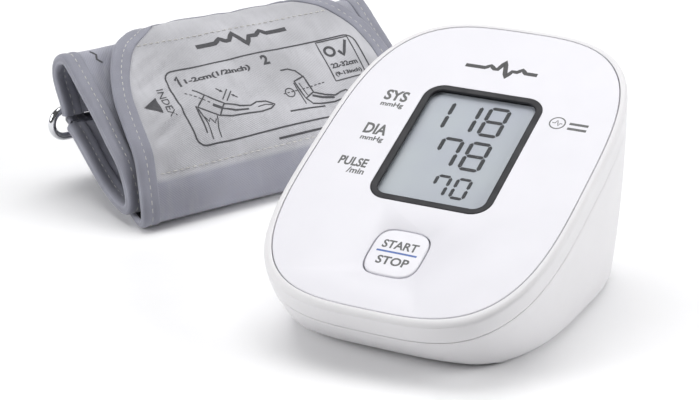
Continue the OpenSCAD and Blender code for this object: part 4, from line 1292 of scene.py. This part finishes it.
def make_door():
    """The battery cover: softened edges, a grip of short ridges, an arrow and two guide ribs."""
    low, high = node_box("battery_cover")
    base = low[2]
    rings = slabs(high[0] - low[0], high[1] - low[1], (0.8, 0.9, base), (0.25, 1.1, base + 0.12),
                  (0, 1.2, base + 0.4), (0, 1.2, base + 1.8))
    door = lathe("bay_door", rings, at=(0, (low[1] + high[1]) / 2))
    for x in (-BAY_X + 3.6, BAY_X - 3.6):
        rib = block((x - 0.6, BAY_Y[0] + 8, base + 1.5), (x + 0.6, BAY_Y[0] + 28, high[2]))
        boolean(door, rib, "UNION")
    for i in range(4):
        groove = slabs(18, 1.2, (0, 0.55, base - 0.5), (0, 0.55, base + 0.25), (0.6, 0.28, base + 0.5))
        boolean(door, lathe("groove", groove, at=(0, BAY_Y[1] - 3.4 - 2.4 * i)), "DIFFERENCE")
    arrow_mark = np.array([[-3.2, BAY_Y[1] - 15], [0, BAY_Y[1] - 19.5], [3.2, BAY_Y[1] - 15]])
    boolean(door, prism("arrow", arrow_mark, base - 0.5, base + 0.25), "DIFFERENCE")
    dress(door, "case_white", "battery_door", "battery_cover")


def make_pads():
    """Round rubber feet with a softened edge."""
    outlines = discs((4.5, 0), (4.85, 0.08), (5.0, 0.3), (5.0, 1.2))
    feet = [lathe("feet", outlines, at=at) for at in PAD_PLACES]
    for other in feet[1:]:
        boolean(feet[0], other, "UNION")
    dress(feet[0], "pad_rubber", "monitor", "base_pads")


def make_air_jack():
    """The socket for the cuff's air plug: a flange, a flared mouth and a stepped bore."""
    profile = [(1.0, 8.1), (2.25, 8.0), (2.25, 0.5), (2.75, 0.1), (3.1, 0), (5.8, 0), (6.1, 0.1), (6.2, 0.4),
               (6.2, 1.6), (4.5, 1.6), (4.5, JACK_DEPTH), (0.8, JACK_DEPTH), (0.8, 8.1)]
    outlines = [(circle(r, 64), JACK_FACE + depth) for r, depth in profile]
    jack = lathe("air_socket", outlines, along_x, at=(JACK_Y, JACK_Z), closed=True)
    dress(jack, "jack_grey", "monitor", "air_jack")


# the CAD nodes that are still shown, by material
NODE_FINISH = {
    "inner_plastic": ("lcd_holder", "pressure_sensor", "switch_plunger", "pump_crank", "pump_housing",
                      "valve_head", "air_manifold"),
    "elastomer_pink": ("lcd_connectors",),
    "board_green": ("main_board",),
    "chip_black": ("board_chips", "tact_switch", "dc_jack"),
    "steel_bright": ("board_screws", "case_screws", "battery_springs", "battery_contacts", "motor_can",
                     "valve_yoke", "valve_plunger", "valve_spring"),
    "cell_wrap": ("battery_cells",),
    "magnet_grey": ("motor_magnets",),
    "brass_bush": ("motor_bearings",),
    "copper_winding": ("motor_rotor", "valve_coil"),
    "black_rubber": ("pump_diaphragm", "valve_seal"),
    "jack_grey": ("pump_lid",),
    "foam_grey": ("pump_cushion",),
    "silicone": ("pump_tube", "valve_tube", "sensor_tube"),
    "lead_red": ("motor_leads",),
    "lead_black": ("battery_leads",),
}


def make_materials():
    plastic("case_white", (226, 225, 227), 0.5, spread=0.02, mottle=0.004)
    plastic("panel_white", (227, 226, 232), 0.45, grain=4, depth=0.008, spread=0.03, mottle=0.004,
            Coat_Weight=0.06, Coat_Roughness=0.3)
    plastic("button_white", (228, 227, 233), 0.42, grain=3, depth=0.008, mottle=0.004, Coat_Weight=0.1)
    # painted shade for the gap round the key
    plastic("gap_shade_grey", (120, 121, 126), 0.6)
    plastic("bezel_grey", (30, 30, 35), 0.5, grain=0.3, depth=0.006, Specular_IOR_Level=0.3)
    plastic("inner_plastic", (226, 226, 224), 0.5)
    plastic("jack_grey", (205, 206, 211), 0.4)
    plastic("port_grey", (82, 84, 92), 0.45)
    plastic("lead_red", (176, 40, 40), 0.5, grain=0.5)
    plastic("lead_black", (36, 36, 40), 0.5, grain=0.5)
    f = Finish("window_clear", (120, 126, 132), 0.12, Alpha=0.04, IOR=1.49, Specular_IOR_Level=0.3)
    f.vary_rough(f.noise(9), 0.03)
    f = Finish("lcd_glass", (180, 186, 194), 0.45, Specular_IOR_Level=0.4)
    f.patches(24, (176, 181, 192), (183, 190, 196), 1.0)
    f.bump(f.noise(0.15, 1.0), 0.004)
    ink("lcd_dark", (16, 18, 26), 0.6)
    ink("ink_grey", (84, 85, 85))
    ink("ink_dark", (44, 44, 46))
    ink("ink_blue", (72, 104, 172))
    ink("print_dark", (70, 70, 74), 0.7)
    rubber("elastomer_pink", (214, 122, 138))
    rubber("pad_rubber", (104, 107, 113))
    rubber("black_rubber", (36, 36, 39))
    rubber("foam_grey", (140, 143, 148), 0.9)
    rubber("silicone", (232, 229, 221), 0.45)
    f = Finish("board_green", (38, 96, 62), 0.35, Coat_Weight=0.3, Coat_Roughness=0.2)
    tracks = f.ramp(f.noise(3.0, 0.0, stretch=(1, 6, 1)), 0, 1, 0.48, 0.52)
    f.colour(f.blend(tracks, (30, 84, 52), (52, 118, 76)))
    f.bump(tracks, 0.03)
    plastic("chip_black", (34, 34, 37), 0.55)
    metal("steel_bright", (196, 198, 203), 0.28, brushed=(1, 8, 8))
    metal("ring_chrome", (226, 227, 230), 0.12, depth=0.002)
    metal("magnet_grey", (92, 93, 97), 0.5)
    metal("brass_bush", (188, 152, 96), 0.35)
    metal("copper_winding", (190, 112, 68), 0.35, brushed=(8, 1, 1))
    f = Finish("cell_wrap", (64, 112, 146), 0.3, Coat_Weight=0.3)
    label = f.ramp(f.noise(20, 0.0, stretch=(1, 0.05, 0.05)), 0, 1, 0.5, 0.52)
    f.colour(f.blend(label, (54, 62, 70), (70, 124, 158)))
    f.bump(f.noise(1.5), 0.01)
    # the shaded colour is painted shade, laid on the tail below the flap's lower seam
    cloth("cuff_cloth", (192, 192, 197), shaded=(160, 161, 173))
    rubber("hook_black", (30, 30, 33), 0.9)
    cloth("cuff_lining", (186, 187, 198), twill=0.9, contrast=0.08)
    tape_cloth("cuff_tape", (150, 151, 163))
    plastic("bladder_film", (214, 210, 196), 0.35, grain=1.0)
    f = Finish("thread_light", (206, 204, 198), 0.7, Sheen_Weight=0.3)
    f.patches(0.6, (188, 187, 184), (216, 214, 208))
    f.bump(f.noise(0.15), 0.02)


make_materials()
for make in (make_lower_case, make_upper_case, make_face_panel, make_button, make_bezel, make_window,
             make_display, make_face_print, make_key_print, make_door, make_pads, make_air_jack, make_sleeve,
             make_tail, make_hook_tape, make_flap_print, make_ring, make_ring_loop, make_port):
    make()

for finish_name, nodes in NODE_FINISH.items():
    for node in nodes:
        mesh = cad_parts[node].data
        mesh.materials.clear()
        mesh.materials.append(MATERIALS[finish_name])
